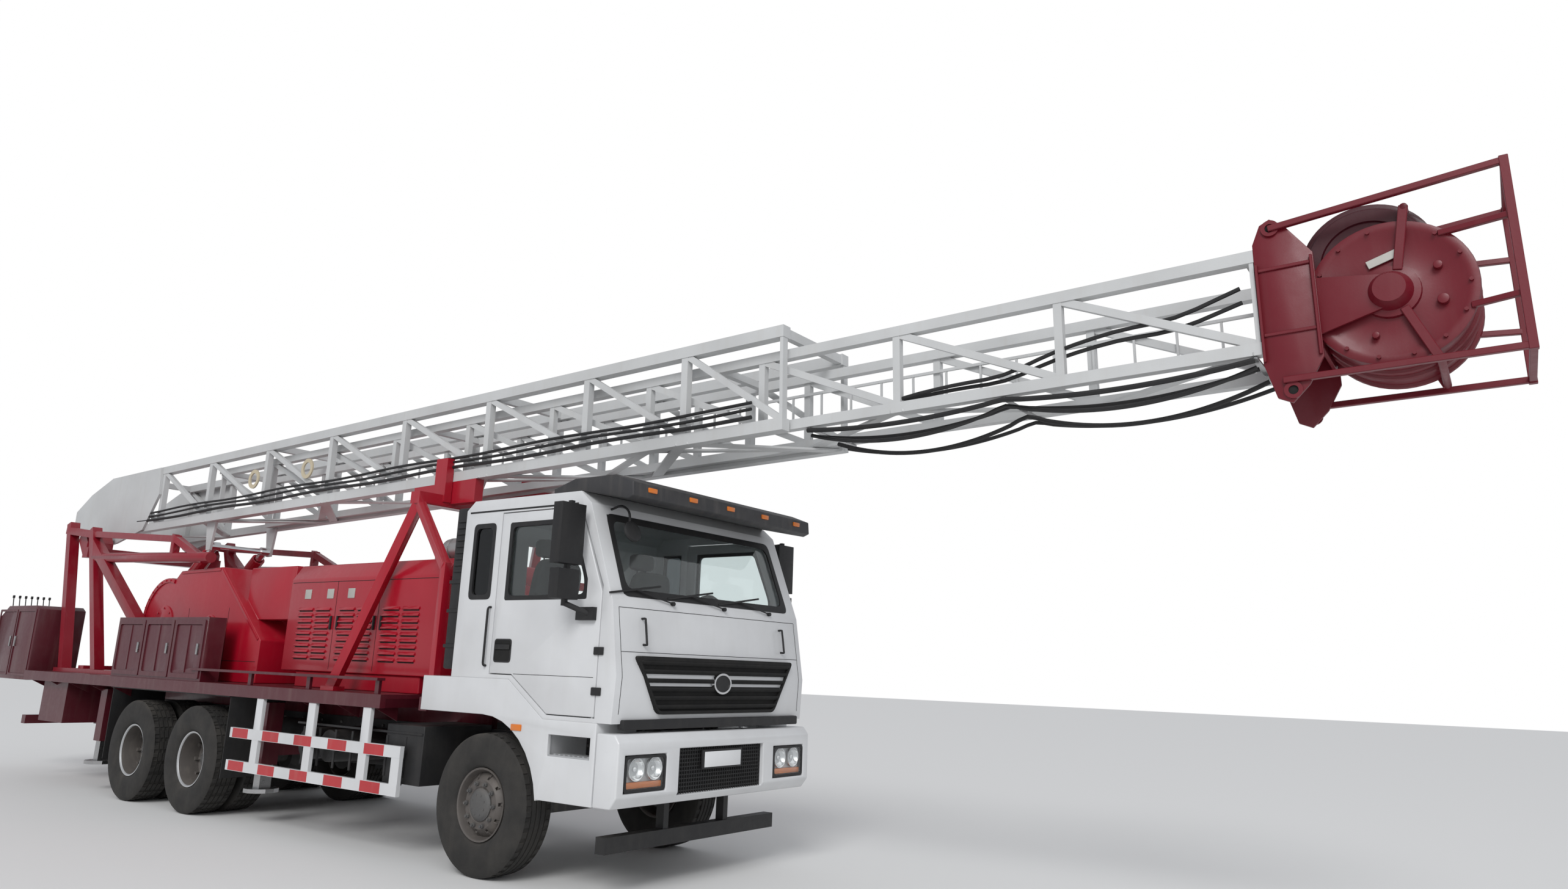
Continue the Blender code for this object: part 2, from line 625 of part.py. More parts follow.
def build_cab_inside():
    top, low = 2.14, 1.72
    wheel_lean = radians(28)
    dash = slab([(front_axle + 0.98, 1.98), (front_axle + 1.06, top),
                 (inner_front(top) - gap, top), (inner_front(low) - gap, low),
                 (front_axle + 1.18, low)], -1.15, 1.15)
    column = tube((front_axle + 1.10, 0.55, 1.98), (front_axle + 0.80, 0.55, 2.14), 0.035, 10)
    hub = tube((front_axle + 0.82, 0.55, 2.13), (front_axle + 0.765, 0.55, 2.16), 0.07, 10)
    wheel = turned([(-0.015, 0.20), (-0.015, 0.23), (0.015, 0.23), (0.015, 0.20)], (0, 0, 0),
                   1, 20)
    tilt = Matrix.Rotation(radians(90), 4, "Z")
    lean = Matrix.Rotation(wheel_lean, 4, "Y")
    place = Matrix.Translation((front_axle + 0.78, 0.55, 2.155))
    bmesh.ops.transform(wheel, matrix=place @ lean @ tilt, verts=wheel.verts)
    spokes = [beam((front_axle + 0.78, 0.55, 2.152), (front_axle + 0.78 + 0.215 * sin(wheel_lean)
                                                      * cos(a), 0.55 + 0.215 * sin(a),
                                                      2.152 + 0.215 * cos(wheel_lean) * cos(a)),
                   0.03, 0.015) for a in (radians(100), radians(180), radians(260))]
    node("dashboard", [dash, column, hub, wheel] + spokes, "black_plastic")
    floor = cab_side_floor + cab_wall + gap
    bunk = box(cab_back + cab_wall + 0.03, front_axle + 0.10, -1.10, 1.10, floor, 1.86)
    shapes = [bunk]
    for s in (-1, 1):
        y = 0.60 * s
        shapes.append(box(front_axle - 0.02, front_axle + 0.42, y - 0.22, y + 0.22, floor, 1.90))
        shapes.append(box(front_axle + 0.0, front_axle + 0.48, y - 0.25, y + 0.25, 1.88, 2.03))
        shapes.append(slab([(front_axle + 0.02, 1.95), (front_axle + 0.14, 1.95),
                            (front_axle + 0.02, 2.55), (front_axle - 0.09, 2.55)],
                           y - 0.24, y + 0.24))
        shapes.append(slab([(front_axle - 0.06, 2.54), (front_axle + 0.02, 2.54),
                            (front_axle - 0.01, 2.72), (front_axle - 0.09, 2.72)],
                           y - 0.14, y + 0.14))
    node("seats", shapes, "seat_cloth")


def build_cab_outside():
    low = cab_roof + gap
    visor = slab([(front_axle + 0.62, low), (front_axle + 0.965, low), (front_axle + 1.46, 2.965),
                  (front_axle + 1.52, 2.99), (front_axle + 1.51, 3.10), (front_axle + 1.32, 3.17),
                  (front_axle + 0.86, 3.17), (front_axle + 0.62, 3.10)], -1.22, 1.22)
    node("sun_visor", [visor], "black_plastic")
    for side, s in (("right", -1), ("left", 1)):
        hinge = (door_front - 0.03, s * (cab_half - 0.022), 2.0)
        x = front_axle + 1.06
        wall = s * (cab_half + gap)
        arm = box(x - 0.018, x + 0.018, s * 1.402, s * 1.438, 2.13, 2.945)
        low_arm = tube((x + 0.10, s * 1.262, 2.08), (x, s * 1.42, 2.15), 0.022, 8)
        low_pad = box(x - 0.02, x + 0.17, wall, s * 1.275, 2.03, 2.13)
        high_arm = beam((x - 0.12, s * 1.256, 2.885), (x, s * 1.42, 2.925), 0.03, 0.03)
        high_pad = box(x - 0.16, x - 0.08, wall, s * 1.268, 2.86, 2.91)
        big = box(x - 0.05, x + 0.05, s * 1.31, s * 1.555, 2.45, 2.92)
        small = box(x - 0.05, x + 0.05, s * 1.33, s * 1.545, 2.18, 2.41)
        node(f"mirror_{side}", [arm, low_arm, low_pad, high_arm, high_pad, big, small], "black_plastic",
             origin=hinge, carrier=bpy.data.objects[f"door_hinge_{side}"])
        top = cab_side_floor - gap
        opening = arc(front_axle, axle_height, 0.71, 90, 8, 8)
        rim = [(front_axle - 0.83, axle_height + 0.71)] + opening
        rim += [(front_axle + 0.72, bumper_low), (bumper_back - 0.01, bumper_low),
                (bumper_back - 0.01, cab_floor - gap), (front_axle + 0.72 - 0.003, cab_floor - gap),
                (front_axle + 0.28 - 0.003, top), (front_axle - 0.83, top)]
        outer, inner = s * 1.24, s * fender_inner
        pocket = box(front_axle - 0.80, front_axle + 0.22, s * 1.20, s * 0.5,
                     axle_height + 0.74, top - 0.03)
        hollow = box(front_axle + 0.78, front_axle + 1.28, s * 1.20, s * 0.5, 0.70, 1.22)
        step = box(front_axle + 0.80, front_axle + 1.26, s * 1.30, s * 1.10, 1.00, 1.16)
        tread = box(front_axle + 0.785, front_axle + 1.285, s * 1.09, s * 1.205, 0.97, 1.00)
        node(f"front_fender_{side}", [slab(rim, min(outer, inner), max(outer, inner))],
             "white_paint", cuts=[pocket, hollow, step], added=[tread])
    shell = slab([(bumper_back, bumper_low), (bumper_front - 0.06, bumper_low),
                  (bumper_front, bumper_low + 0.08), (bumper_front, bumper_high - 0.06),
                  (bumper_front - 0.05, bumper_high), (bumper_back, bumper_high)], -1.24, 1.24)
    inside = box(bumper_back - 0.1, bumper_front - bumper_wall, -1.19, 1.19, bumper_low + 0.04,
                 bumper_high - 0.04)
    lamps = both([box(bumper_front - 0.05, bumper_front + 0.1, -1.16, -0.70, 0.78, 1.05)])
    intake = box(bumper_front - 0.05, bumper_front + 0.1, -0.55, 0.55, 0.73, 1.08)
    node("bumper", [shell], "white_paint", cuts=[inside, intake] + lamps)


# ---- machinery on the deck ----
def build_deck_machinery():
    def section(inset):
        side, top = cover_half - inset, cover_high - inset
        return [(-side, cover_low), (side, cover_low), (side, top - 0.16), (side - 0.10, top),
                (-side + 0.10, top), (-side, top - 0.16)]
    shell = plate(section(0), cover_back, cover_front)
    inside = plate([(y, z - 0.1 if z == cover_low else z) for y, z in section(0.03)],
                   cover_back + 0.03, cover_front - 0.03)
    skids = both([box(cover_back + 0.30, front_axle - 1.45, -cover_half + 0.002,
                      -cover_half + 0.08, deck_high + gap, cover_low + 0.03)])
    node("engine_cover", [shell], "red_paint", cuts=[inside], added=skids)
    node("deck_engine", [box(front_axle - 3.40, front_axle - 1.60, -0.42, 0.42,
                             deck_high + gap, 2.30)], "cast_grey")
    drum = arc(front_axle - 6.72, 2.00, 0.58, 195, 75, 10)
    low = deck_high + gap
    winch = slab([(drum[0][0], low)] + drum + [(front_axle - 6.45, 2.66),
                 (front_axle - 5.45, 2.68), (front_axle - 4.38, 1.84), (front_axle - 4.38, low)],
                 -cover_half, cover_half)
    tower = box(front_axle - 4.96, cover_back - 0.12, -cover_half + 0.10, cover_half - 0.10,
                2.07, 2.66)
    foot = box(front_axle - 4.90, front_axle - 4.20, -0.45, 0.45, 1.80, 2.10)
    node("winch_cover", [winch, foot, tower], "red_paint")
    front, back = deck_back - gap, front_axle - 10.92
    low, top = 1.24, 2.24
    cabinet = slab([(front, low), (front, top - 0.05), (front - 0.10, top), (back + 0.30, top),
                    (back + 0.06, top - 0.14), (back, top - 0.5), (back, low)], -1.22, -0.64)
    node("control_cabinet", [cabinet], "maroon_paint")


def build_rear_frame():
    def at(x, s, z):
        return (front_axle + x, s * frame_y, z)
    low = deck_high + gap
    shapes = []
    for s in (-1, 1):
        shapes += [beam(at(-9.18, s, low + 0.03), at(-9.75, s, 3.42), frame_bar, frame_bar),
                   beam(at(-8.15, s, low + 0.03), at(-8.98, s, 3.30), frame_bar, frame_bar),
                   beam(at(-7.20, s, 2.02), at(-8.90, s, 3.10), frame_bar, 0.14),
                   beam(at(-7.20, s, 2.06), at(-7.20, s, low + 0.02), 0.10, 0.10),
                   beam(at(-9.80, s, 3.32), at(-8.90, s, 3.22), frame_bar, 0.10),
                   beam(at(-9.10, s, 3.24), at(-6.50, s, 3.05), 0.08, 0.08),
                   beam(at(-6.55, s, 3.10), at(-6.55, s, 2.78), 0.08, 0.08),
                   beam(at(-6.60, s, 3.08), at(-5.75, s, 2.76), 0.08, 0.08),
                   tube(at(-8.80, s, 2.90), at(-5.60, s, 2.79), 0.065, 12),
                   box(front_axle - 9.30, front_axle - 7.10, s * (frame_y - 0.075),
                       s * (frame_y + 0.09), low, low + 0.05)]
    reach = frame_y - 0.01
    cross = [box(hinge_x + 0.10, hinge_x + 0.26, -reach, reach, 2.92, 3.06),
             box(front_axle - 8.78, front_axle - 8.62, -reach, reach, low + 0.01, low + 0.09)]
    brackets = both([slab([(hinge_x + 0.20, 2.96), (hinge_x + 0.20, 3.14),
                           (hinge_x + 0.07, 3.29), (hinge_x - 0.07, 3.29),
                           (hinge_x - 0.09, 3.16), (hinge_x + 0.12, 2.94)],
                          -reach, -lug_y - gap)])
    base_x, base_z = raise_base
    clevis = both([slab([(base_x - 0.09, low + 0.05), (base_x + 0.09, low + 0.05),
                         (base_x + 0.05, base_z + 0.06), (base_x - 0.05, base_z + 0.06)],
                        -y - 0.02, -y + 0.02) for y in (raise_y - 0.0903, raise_y + 0.0903)])
    node("rear_frame", shapes[:1] + cross + shapes[1:] + brackets + clevis, "red_paint")


def build_front_support():
    def pair(start, end, wide, tall):
        return both([beam(start, end, wide, tall)])
    apex = (rest_x, -0.80, rest_z + 0.02)
    legs = pair(apex, (front_axle - 2.45, -1.10, deck_high + 0.03), 0.09, 0.09)
    legs += pair(apex, (front_axle - 0.925, -1.06, 2.52), 0.08, 0.08)
    legs += pair((front_axle - 0.925, -1.06, deck_high + 0.01), (front_axle - 0.925, -1.06, 2.56),
                 0.07, 0.07)
    low = deck_high + gap
    feet = both([box(front_axle - 2.56, front_axle - 2.34, -1.15, -1.03, low, low + 0.04),
                 box(front_axle - 0.97, front_axle - 0.88, -1.11, -1.01, low, low + 0.03)])
    across = box(rest_x - 0.07, rest_x + 0.07, -0.86, 0.86, rest_z, rest_z + 0.12)
    tie = box(front_axle - 0.96, front_axle - 0.89, -1.05, 1.05, 2.44, 2.52)
    saddles = both([slab([(rest_x - 0.55, rest_z + 0.04), (rest_x + 0.45, rest_z + 0.04),
                          (rest_x + 0.45, lower_face(rest_x + 0.45) - gap),
                          (rest_x - 0.55, lower_face(rest_x - 0.55) - gap)],
                         -mast_half, -mast_half + chord)])
    guides = both([box(rest_x - 0.09, rest_x + 0.09, -mast_half - 0.09, -mast_half - running_gap,
                       rest_z + 0.05, 3.70)])
    node("front_mast_support", [across] + legs + feet + [tie] + saddles + guides, "red_paint")


def lower_face(x):
    """Height of the underside of the mast's lower chords at station x."""
    along = (x - hinge_x + mast_low * sin(mast_pitch)) / cos(mast_pitch)
    return hinge_z + along * sin(mast_pitch) + mast_low * cos(mast_pitch)


# ---- mast: u runs along it from the hinge, w stands square to it ----
def on_mast(shapes):
    place = Matrix.Translation((hinge_x, 0, hinge_z)) @ Matrix.Rotation(-mast_pitch, 4, "Y")
    for shape in shapes:
        bmesh.ops.transform(shape, matrix=place, verts=shape.verts)
    return shapes


def truss(stations, half, low, high, size, brace):
    """Four chords, with posts and slanting braces on both sides."""
    inner = half - size
    start, end = stations[0], stations[-1]
    chords = [box(start, end, s * half, s * inner, w0, w0 + size)
              for s in (-1, 1) for w0 in (low, high - size)]
    rest = []
    for k, u in enumerate(stations):
        left, right = max(u - brace / 2, start + 0.004), min(u + brace / 2, end - 0.004)
        for s in (-1, 1):
            rest.append(box(left, right, s * (half - 0.005), s * (half - brace), low + 0.01,
                            high - 0.01))
        if k == len(stations) - 1:
            continue
        ahead = stations[k + 1]
        for s in (-1, 1):
            y = s * (half - 0.03)
            into = brace / 2 - 0.013
            rest.append(beam((u + into, y, high - size + 0.013),
                             (ahead - into, y, low + size - 0.013), 0.045, 0.055))
    return chords, rest


def back_plates(stations, half, low, wide):
    """Flat zigzag plates on the mast's back, its underside when it lies down."""
    made = []
    for k, u in enumerate(stations[:-1]):
        s = 1 if k % 2 else -1
        y = s * (half - 0.03)
        made.append(beam((u + 0.03, y, low + 0.012), (stations[k + 1] - 0.03, -y, low + 0.012),
                         wide, 0.018))
    return made


def build_mast():
    hinge = (hinge_x, 0, hinge_z)
    swing = pivot("mast_hinge", hinge)
    stations = [0.0, 1.25, 2.55, 3.95, 5.35, 6.75, 8.15, 9.55, 10.75, mast_length]
    chords, rest = truss(stations, mast_half, mast_low, mast_high, chord, post)
    rest += back_plates(stations, mast_half, mast_low, 0.10)
    foot = []
    for s in (-1, 1):
        outline = [(-mast_tail, 0.25), (-mast_tail, 0.52), (-0.95, 0.74), (-0.30, 0.93),
                   (1.20, 0.93), (1.25, 0.55), (0.90, 0.08), (0.12, -0.06), (0.0, -0.07),
                   (-0.12, -0.02), (-0.30, 0.12)]
        foot.append(slab(outline, s * (mast_half - 0.004), s * (mast_half + 0.03)))
        foot.append(tube((0, s * (mast_half - 0.01), 0), (0, s * lug_y, 0), 0.065, 12))
    foot.append(box(-mast_tail + 0.02, -mast_tail + 0.14, -mast_half - 0.02, mast_half + 0.02,
                    0.28, 0.42))
    head = [box(u - 0.06, u, -mast_half + 0.02, mast_half - 0.02, mast_high - 0.09,
                mast_high - 0.013) for u in (0.07, 4.02, 8.23, mast_length - 0.01)]
    pin_u, pin_w = raise_pin
    lugs = []
    for s in (-1, 1):
        inner = raise_y + eye_half + gap
        lugs.append(box(pin_u - 0.13, pin_u + 0.13, s * (mast_half - 0.02), s * (inner + 0.002),
                        mast_low + 0.002, mast_low + 0.022))
        lugs.append(slab([(pin_u - 0.12, mast_low + 0.012), (pin_u - 0.05, pin_w - 0.06),
                          (pin_u + 0.05, pin_w - 0.06), (pin_u + 0.12, mast_low + 0.012)],
                         s * inner, s * (inner + 0.03)))
    whole = on_mast(chords[:1] + rest + chords[1:] + foot + head + lugs)
    node("mast_lower", whole, "mast_paint", origin=hinge, carrier=swing)
    slide = pivot("mast_slide", hinge, swing)
    bays = 10
    stations = [top_tail + (top_end - top_tail) * k / bays for k in range(bays + 1)]
    chords, rest = truss(stations, top_half, top_low, top_high, top_chord, 0.06)
    rest += back_plates(stations, top_half, top_low, 0.08)
    rest += [box(u - 0.03, u + 0.03, -top_half + 0.02, top_half - 0.02, top_high - 0.07,
                 top_high - 0.01) for u in (top_tail + 0.03, 7.0, 11.0, top_end - 0.03)]
    rollers = []
    for s in (-1, 1):
        for w in (top_low + 0.035, top_high - 0.06):
            rollers.append(box(top_tail + 0.006, top_tail + 0.10, s * (top_half - 0.03),
                               s * (mast_half - chord - gap), w, w + 0.04))
    node("mast_upper", on_mast(chords[:1] + rest + chords[1:] + rollers), "mast_paint",
         origin=hinge, carrier=slide)
    build_crown(hinge, slide)


def build_crown(hinge, slide):
    u0 = top_end + gap
    sheave = (16.00, 0.36)
    plates = []
    for s in (-1, 1):
        outline = [(u0, 0.02), (u0, 0.80), (u0 + 0.05, 0.92), (u0 + 0.12, 0.95),
                   (u0 + 0.20, 0.90), (u0 + 0.34, 0.72), (u0 + 0.75, 0.66), (u0 + 0.95, 0.30),
                   (u0 + 0.80, 0.00), (u0 + 0.30, -0.06), (u0 + 0.16, -0.24),
                   (u0 + 0.06, -0.20)]
        plates.append(slab(outline, s * top_half, s * (top_half - 0.025)))
    back = box(u0 + 0.002, u0 + 0.03, -top_half + 0.01, top_half - 0.01, 0.05, 0.78)
    drum = tube((sheave[0], -0.30, sheave[1]), (sheave[0], 0.30, sheave[1]), 0.44, 24)
    hood = tube((sheave[0] - 0.10, -0.24, sheave[1] + 0.24), (sheave[0] - 0.10, 0.24,
                                                              sheave[1] + 0.24), 0.36, 24)
    axle = tube((sheave[0], -top_half - 0.03, sheave[1]), (sheave[0], top_half + 0.03, sheave[1]),
                0.09, 12)
    end, bar, thin = 16.62, 0.045, 0.038
    cage = []
    for s in (-1, 1):
        y = s * 0.38
        for w in (-0.10, 0.66, 0.98):
            cage.append(beam((u0 + 0.10, y, w if w < 0.9 else 0.88), (end, y, w), thin, thin))
        cage.append(beam((end, y, -0.125), (end, y, 1.005), bar, bar))
    for w in (-0.10, 0.98):
        cage.append(beam((end, -0.38, w), (end, 0.38, w), thin, thin))
    ties = [box(u0 + 0.08, u0 + 0.20, s * (top_half - 0.01), s * 0.39, w - 0.03, w + 0.05)
            for s in (-1, 1) for w in (-0.10, 0.66, 0.86)]
    node("crown_block", on_mast(plates[:1] + [back, drum, hood, axle] + plates[1:] + ties + cage),
         "red_paint", origin=hinge, carrier=slide)


# ---- raising cylinders ----
def build_raising_cylinders():
    base_x, base_z = raise_base
    along, above = raise_pin
    eye_x = hinge_x + along * cos(mast_pitch) - above * sin(mast_pitch)
    eye_z = hinge_z + along * sin(mast_pitch) + above * cos(mast_pitch)
    length = hypot(eye_x - base_x, eye_z - base_z)
    ux, uz = (eye_x - base_x) / length, (eye_z - base_z) / length

    def at(distance, y):
        return (base_x + ux * distance, y, base_z + uz * distance)
    base = pivot("raising_base", (base_x, 0, base_z))
    barrel_end = length - 0.16
    shapes = []
    for s in (-1, 1):
        y = s * raise_y
        shapes.append(tube(at(0.13, y), at(barrel_end, y), 0.085, 16))
        shapes.append(tube(at(0.0, y), at(0.15, y), 0.050, 12))
        shapes.append(tube((base_x, y - 0.07, base_z), (base_x, y + 0.07, base_z), 0.06, 12))
    link = tube((base_x + ux * 0.35, -raise_y, base_z + uz * 0.35),
                (base_x + ux * 0.35, raise_y, base_z + uz * 0.35), 0.05, 10)
    bores = [tube(at(0.25, s * raise_y), at(barrel_end + 0.1, s * raise_y), 0.060, 16)
             for s in (-1, 1)]
    node("raising_barrels", shapes[:1] + [link] + shapes[1:], "red_paint", cuts=bores,
         origin=(base_x, 0, base_z), carrier=base)
    slide = pivot("raising_slide", at(0.25, 0), base)
    rods = []
    for s in (-1, 1):
        y = s * raise_y
        rods.append(tube(at(0.25 + gap, y), at(length - 0.03, y), 0.050, 16))
        rods.append(tube((eye_x, y - eye_half, eye_z), (eye_x, y + eye_half, eye_z), 0.055, 12))
    link = tube((eye_x, -raise_y, eye_z), (eye_x, raise_y, eye_z), 0.030, 8)
    node("raising_rods", rods[:1] + [link] + rods[1:], "bare_steel", origin=at(0.25, 0),
         carrier=slide)


def main():
    for thing in list(bpy.data.objects):
        bpy.data.objects.remove(thing, do_unlink=True)
    build_chassis()
    build_jacks()
    build_front_axle()
    build_rear_axles()
    build_wheels()
    build_driveline()
    build_side_boxes()
    build_deck()
    build_side_guards()
    build_cab()
    build_doors()
    build_cab_inside()
    build_cab_outside()
    build_deck_machinery()
    build_rear_frame()
    build_front_support()
    build_mast()
    build_raising_cylinders()


main()
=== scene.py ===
import json
import random
from math import atan2, cos, hypot, pi, radians, sin

import bmesh
import bpy
from mathutils import Matrix, Vector


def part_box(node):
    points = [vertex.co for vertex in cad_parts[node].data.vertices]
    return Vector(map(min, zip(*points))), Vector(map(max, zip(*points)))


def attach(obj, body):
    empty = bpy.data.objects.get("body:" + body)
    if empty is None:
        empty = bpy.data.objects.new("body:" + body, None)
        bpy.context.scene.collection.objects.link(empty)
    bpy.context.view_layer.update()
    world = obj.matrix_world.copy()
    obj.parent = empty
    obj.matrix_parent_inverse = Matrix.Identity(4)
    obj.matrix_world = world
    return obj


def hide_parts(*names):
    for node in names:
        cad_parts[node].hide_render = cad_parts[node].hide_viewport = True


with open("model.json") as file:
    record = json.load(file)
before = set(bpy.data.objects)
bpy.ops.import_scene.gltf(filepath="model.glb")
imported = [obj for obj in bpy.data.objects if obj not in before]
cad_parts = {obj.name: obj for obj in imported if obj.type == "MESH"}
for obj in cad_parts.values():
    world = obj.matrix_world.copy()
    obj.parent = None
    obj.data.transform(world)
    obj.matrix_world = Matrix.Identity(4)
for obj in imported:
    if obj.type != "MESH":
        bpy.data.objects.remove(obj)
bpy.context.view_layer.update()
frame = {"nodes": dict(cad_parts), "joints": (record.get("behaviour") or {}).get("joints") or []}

random.seed(12)
scene = bpy.context.scene
scene.view_settings.view_transform = "Standard"


# where the main pieces are, read from the frame
def middleOf(node):
    low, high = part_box(node)
    return (low + high) / 2


axleX = middleOf("front_axle").x
middleX = middleOf("middle_axle").x
rearX = middleOf("rear_rims_left").x
axleZ = middleOf("front_rim_left").z
cabLow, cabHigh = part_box("cab_shell")
cabHalf = cabHigh.y
cabFront = axleX + 1.48
coverLow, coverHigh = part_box("engine_cover")
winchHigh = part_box("winch_cover")[1]
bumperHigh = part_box("bumper")[1]
joints = {joint["name"]: joint for joint in frame["joints"]}
hinge = Vector(joints["mast_raise"]["pos_m"])
mastAxis = Vector(joints["mast_extend"]["axis"]).normalized()
mastUp = Vector((-mastAxis.z, 0, mastAxis.x))


def onMast(along, across, above):   # a point given along, across and above the mast
    return hinge + mastAxis * along + Vector((0, across, 0)) + mastUp * above


# ---- camera, floor and light ----
view = {"place": (6.999, -6.885, 1.699), "yaw": 35.65, "pitch": 12.50, "roll": 1.945,
        "lens": 23.44}


def buildCamera():
    yaw, pitch, roll = (radians(view[key]) for key in ("yaw", "pitch", "roll"))
    ahead = Vector((-sin(yaw) * cos(pitch), cos(yaw) * cos(pitch), sin(pitch)))
    right = Vector((cos(yaw), sin(yaw), 0))
    up = right.cross(ahead)
    across = right * cos(roll) + up * sin(roll)
    above = up * cos(roll) - right * sin(roll)
    data = bpy.data.cameras.new("camera")
    data.sensor_width = 36
    data.lens = view["lens"]
    data.clip_end = 300
    camera = bpy.data.objects.new("camera", data)
    scene.collection.objects.link(camera)
    turn = Matrix((across, above, -ahead)).transposed().to_4x4()
    camera.matrix_world = Matrix.Translation(Vector(view["place"]) + Vector((axleX, 0, 0))) @ turn
    scene.camera = camera


studio = {"floorColour": (0.80, 0.80, 0.79), "sky": (0.93, 0.95, 1.0), "skyStrength": 0.50,
          "keyPower": 1.35, "fillPower": 900, "fillSize": 16}


def buildStudio():
    bm = bmesh.new()
    bmesh.ops.create_grid(bm, x_segments=1, y_segments=1, size=60)
    mesh = bpy.data.meshes.new("floor")
    bm.to_mesh(mesh)
    bm.free()
    floor = bpy.data.objects.new("floor", mesh)
    scene.collection.objects.link(floor)
    made = bpy.data.materials.new("floor")
    made.use_nodes = True
    shader = made.node_tree.nodes["Principled BSDF"]
    shader.inputs["Base Color"].default_value = (*studio["floorColour"], 1)
    shader.inputs["Roughness"].default_value = 0.9
    mesh.materials.append(made)
    world = bpy.data.worlds.new("studio")
    world.use_nodes = True
    scene.world = world
    nodes, links = world.node_tree.nodes, world.node_tree.links
    sky = nodes["Background"]
    sky.inputs["Color"].default_value = (*studio["sky"], 1)
    sky.inputs["Strength"].default_value = studio["skyStrength"]
    white = nodes.new("ShaderNodeBackground")
    white.inputs["Color"].default_value = (1, 1, 1, 1)
    rays = nodes.new("ShaderNodeLightPath")
    seen = nodes.new("ShaderNodeMath")
    seen.operation = "MAXIMUM"
    mix = nodes.new("ShaderNodeMixShader")
    links.new(rays.outputs["Is Camera Ray"], seen.inputs[0])
    links.new(rays.outputs["Is Transmission Ray"], seen.inputs[1])
    links.new(seen.outputs[0], mix.inputs["Fac"])
    links.new(sky.outputs[0], mix.inputs[1])
    links.new(white.outputs[0], mix.inputs[2])
    links.new(mix.outputs[0], nodes["World Output"].inputs["Surface"])
    sun = bpy.data.lights.new("key", "SUN")
    sun.energy = studio["keyPower"]
    sun.angle = radians(25)
    key = bpy.data.objects.new("key", sun)
    key.rotation_euler = (radians(52), radians(8), radians(18))
    scene.collection.objects.link(key)
    panel = bpy.data.lights.new("fill", "AREA")
    panel.energy = studio["fillPower"]
    panel.size = studio["fillSize"]
    fill = bpy.data.objects.new("fill", panel)
    fill.location = (axleX + 15, -14, 12)
    aim = Vector((axleX - 2, 0, 2)) - fill.location
    fill.rotation_euler = aim.to_track_quat("-Z", "Y").to_euler()
    scene.collection.objects.link(fill)


# ---- materials ----
def groupSocket(tree, name, kind, way="INPUT", value=None):
    made = tree.interface.new_socket(name=name, in_out=way, socket_type=kind)
    if value is not None:
        made.default_value = value
    return made


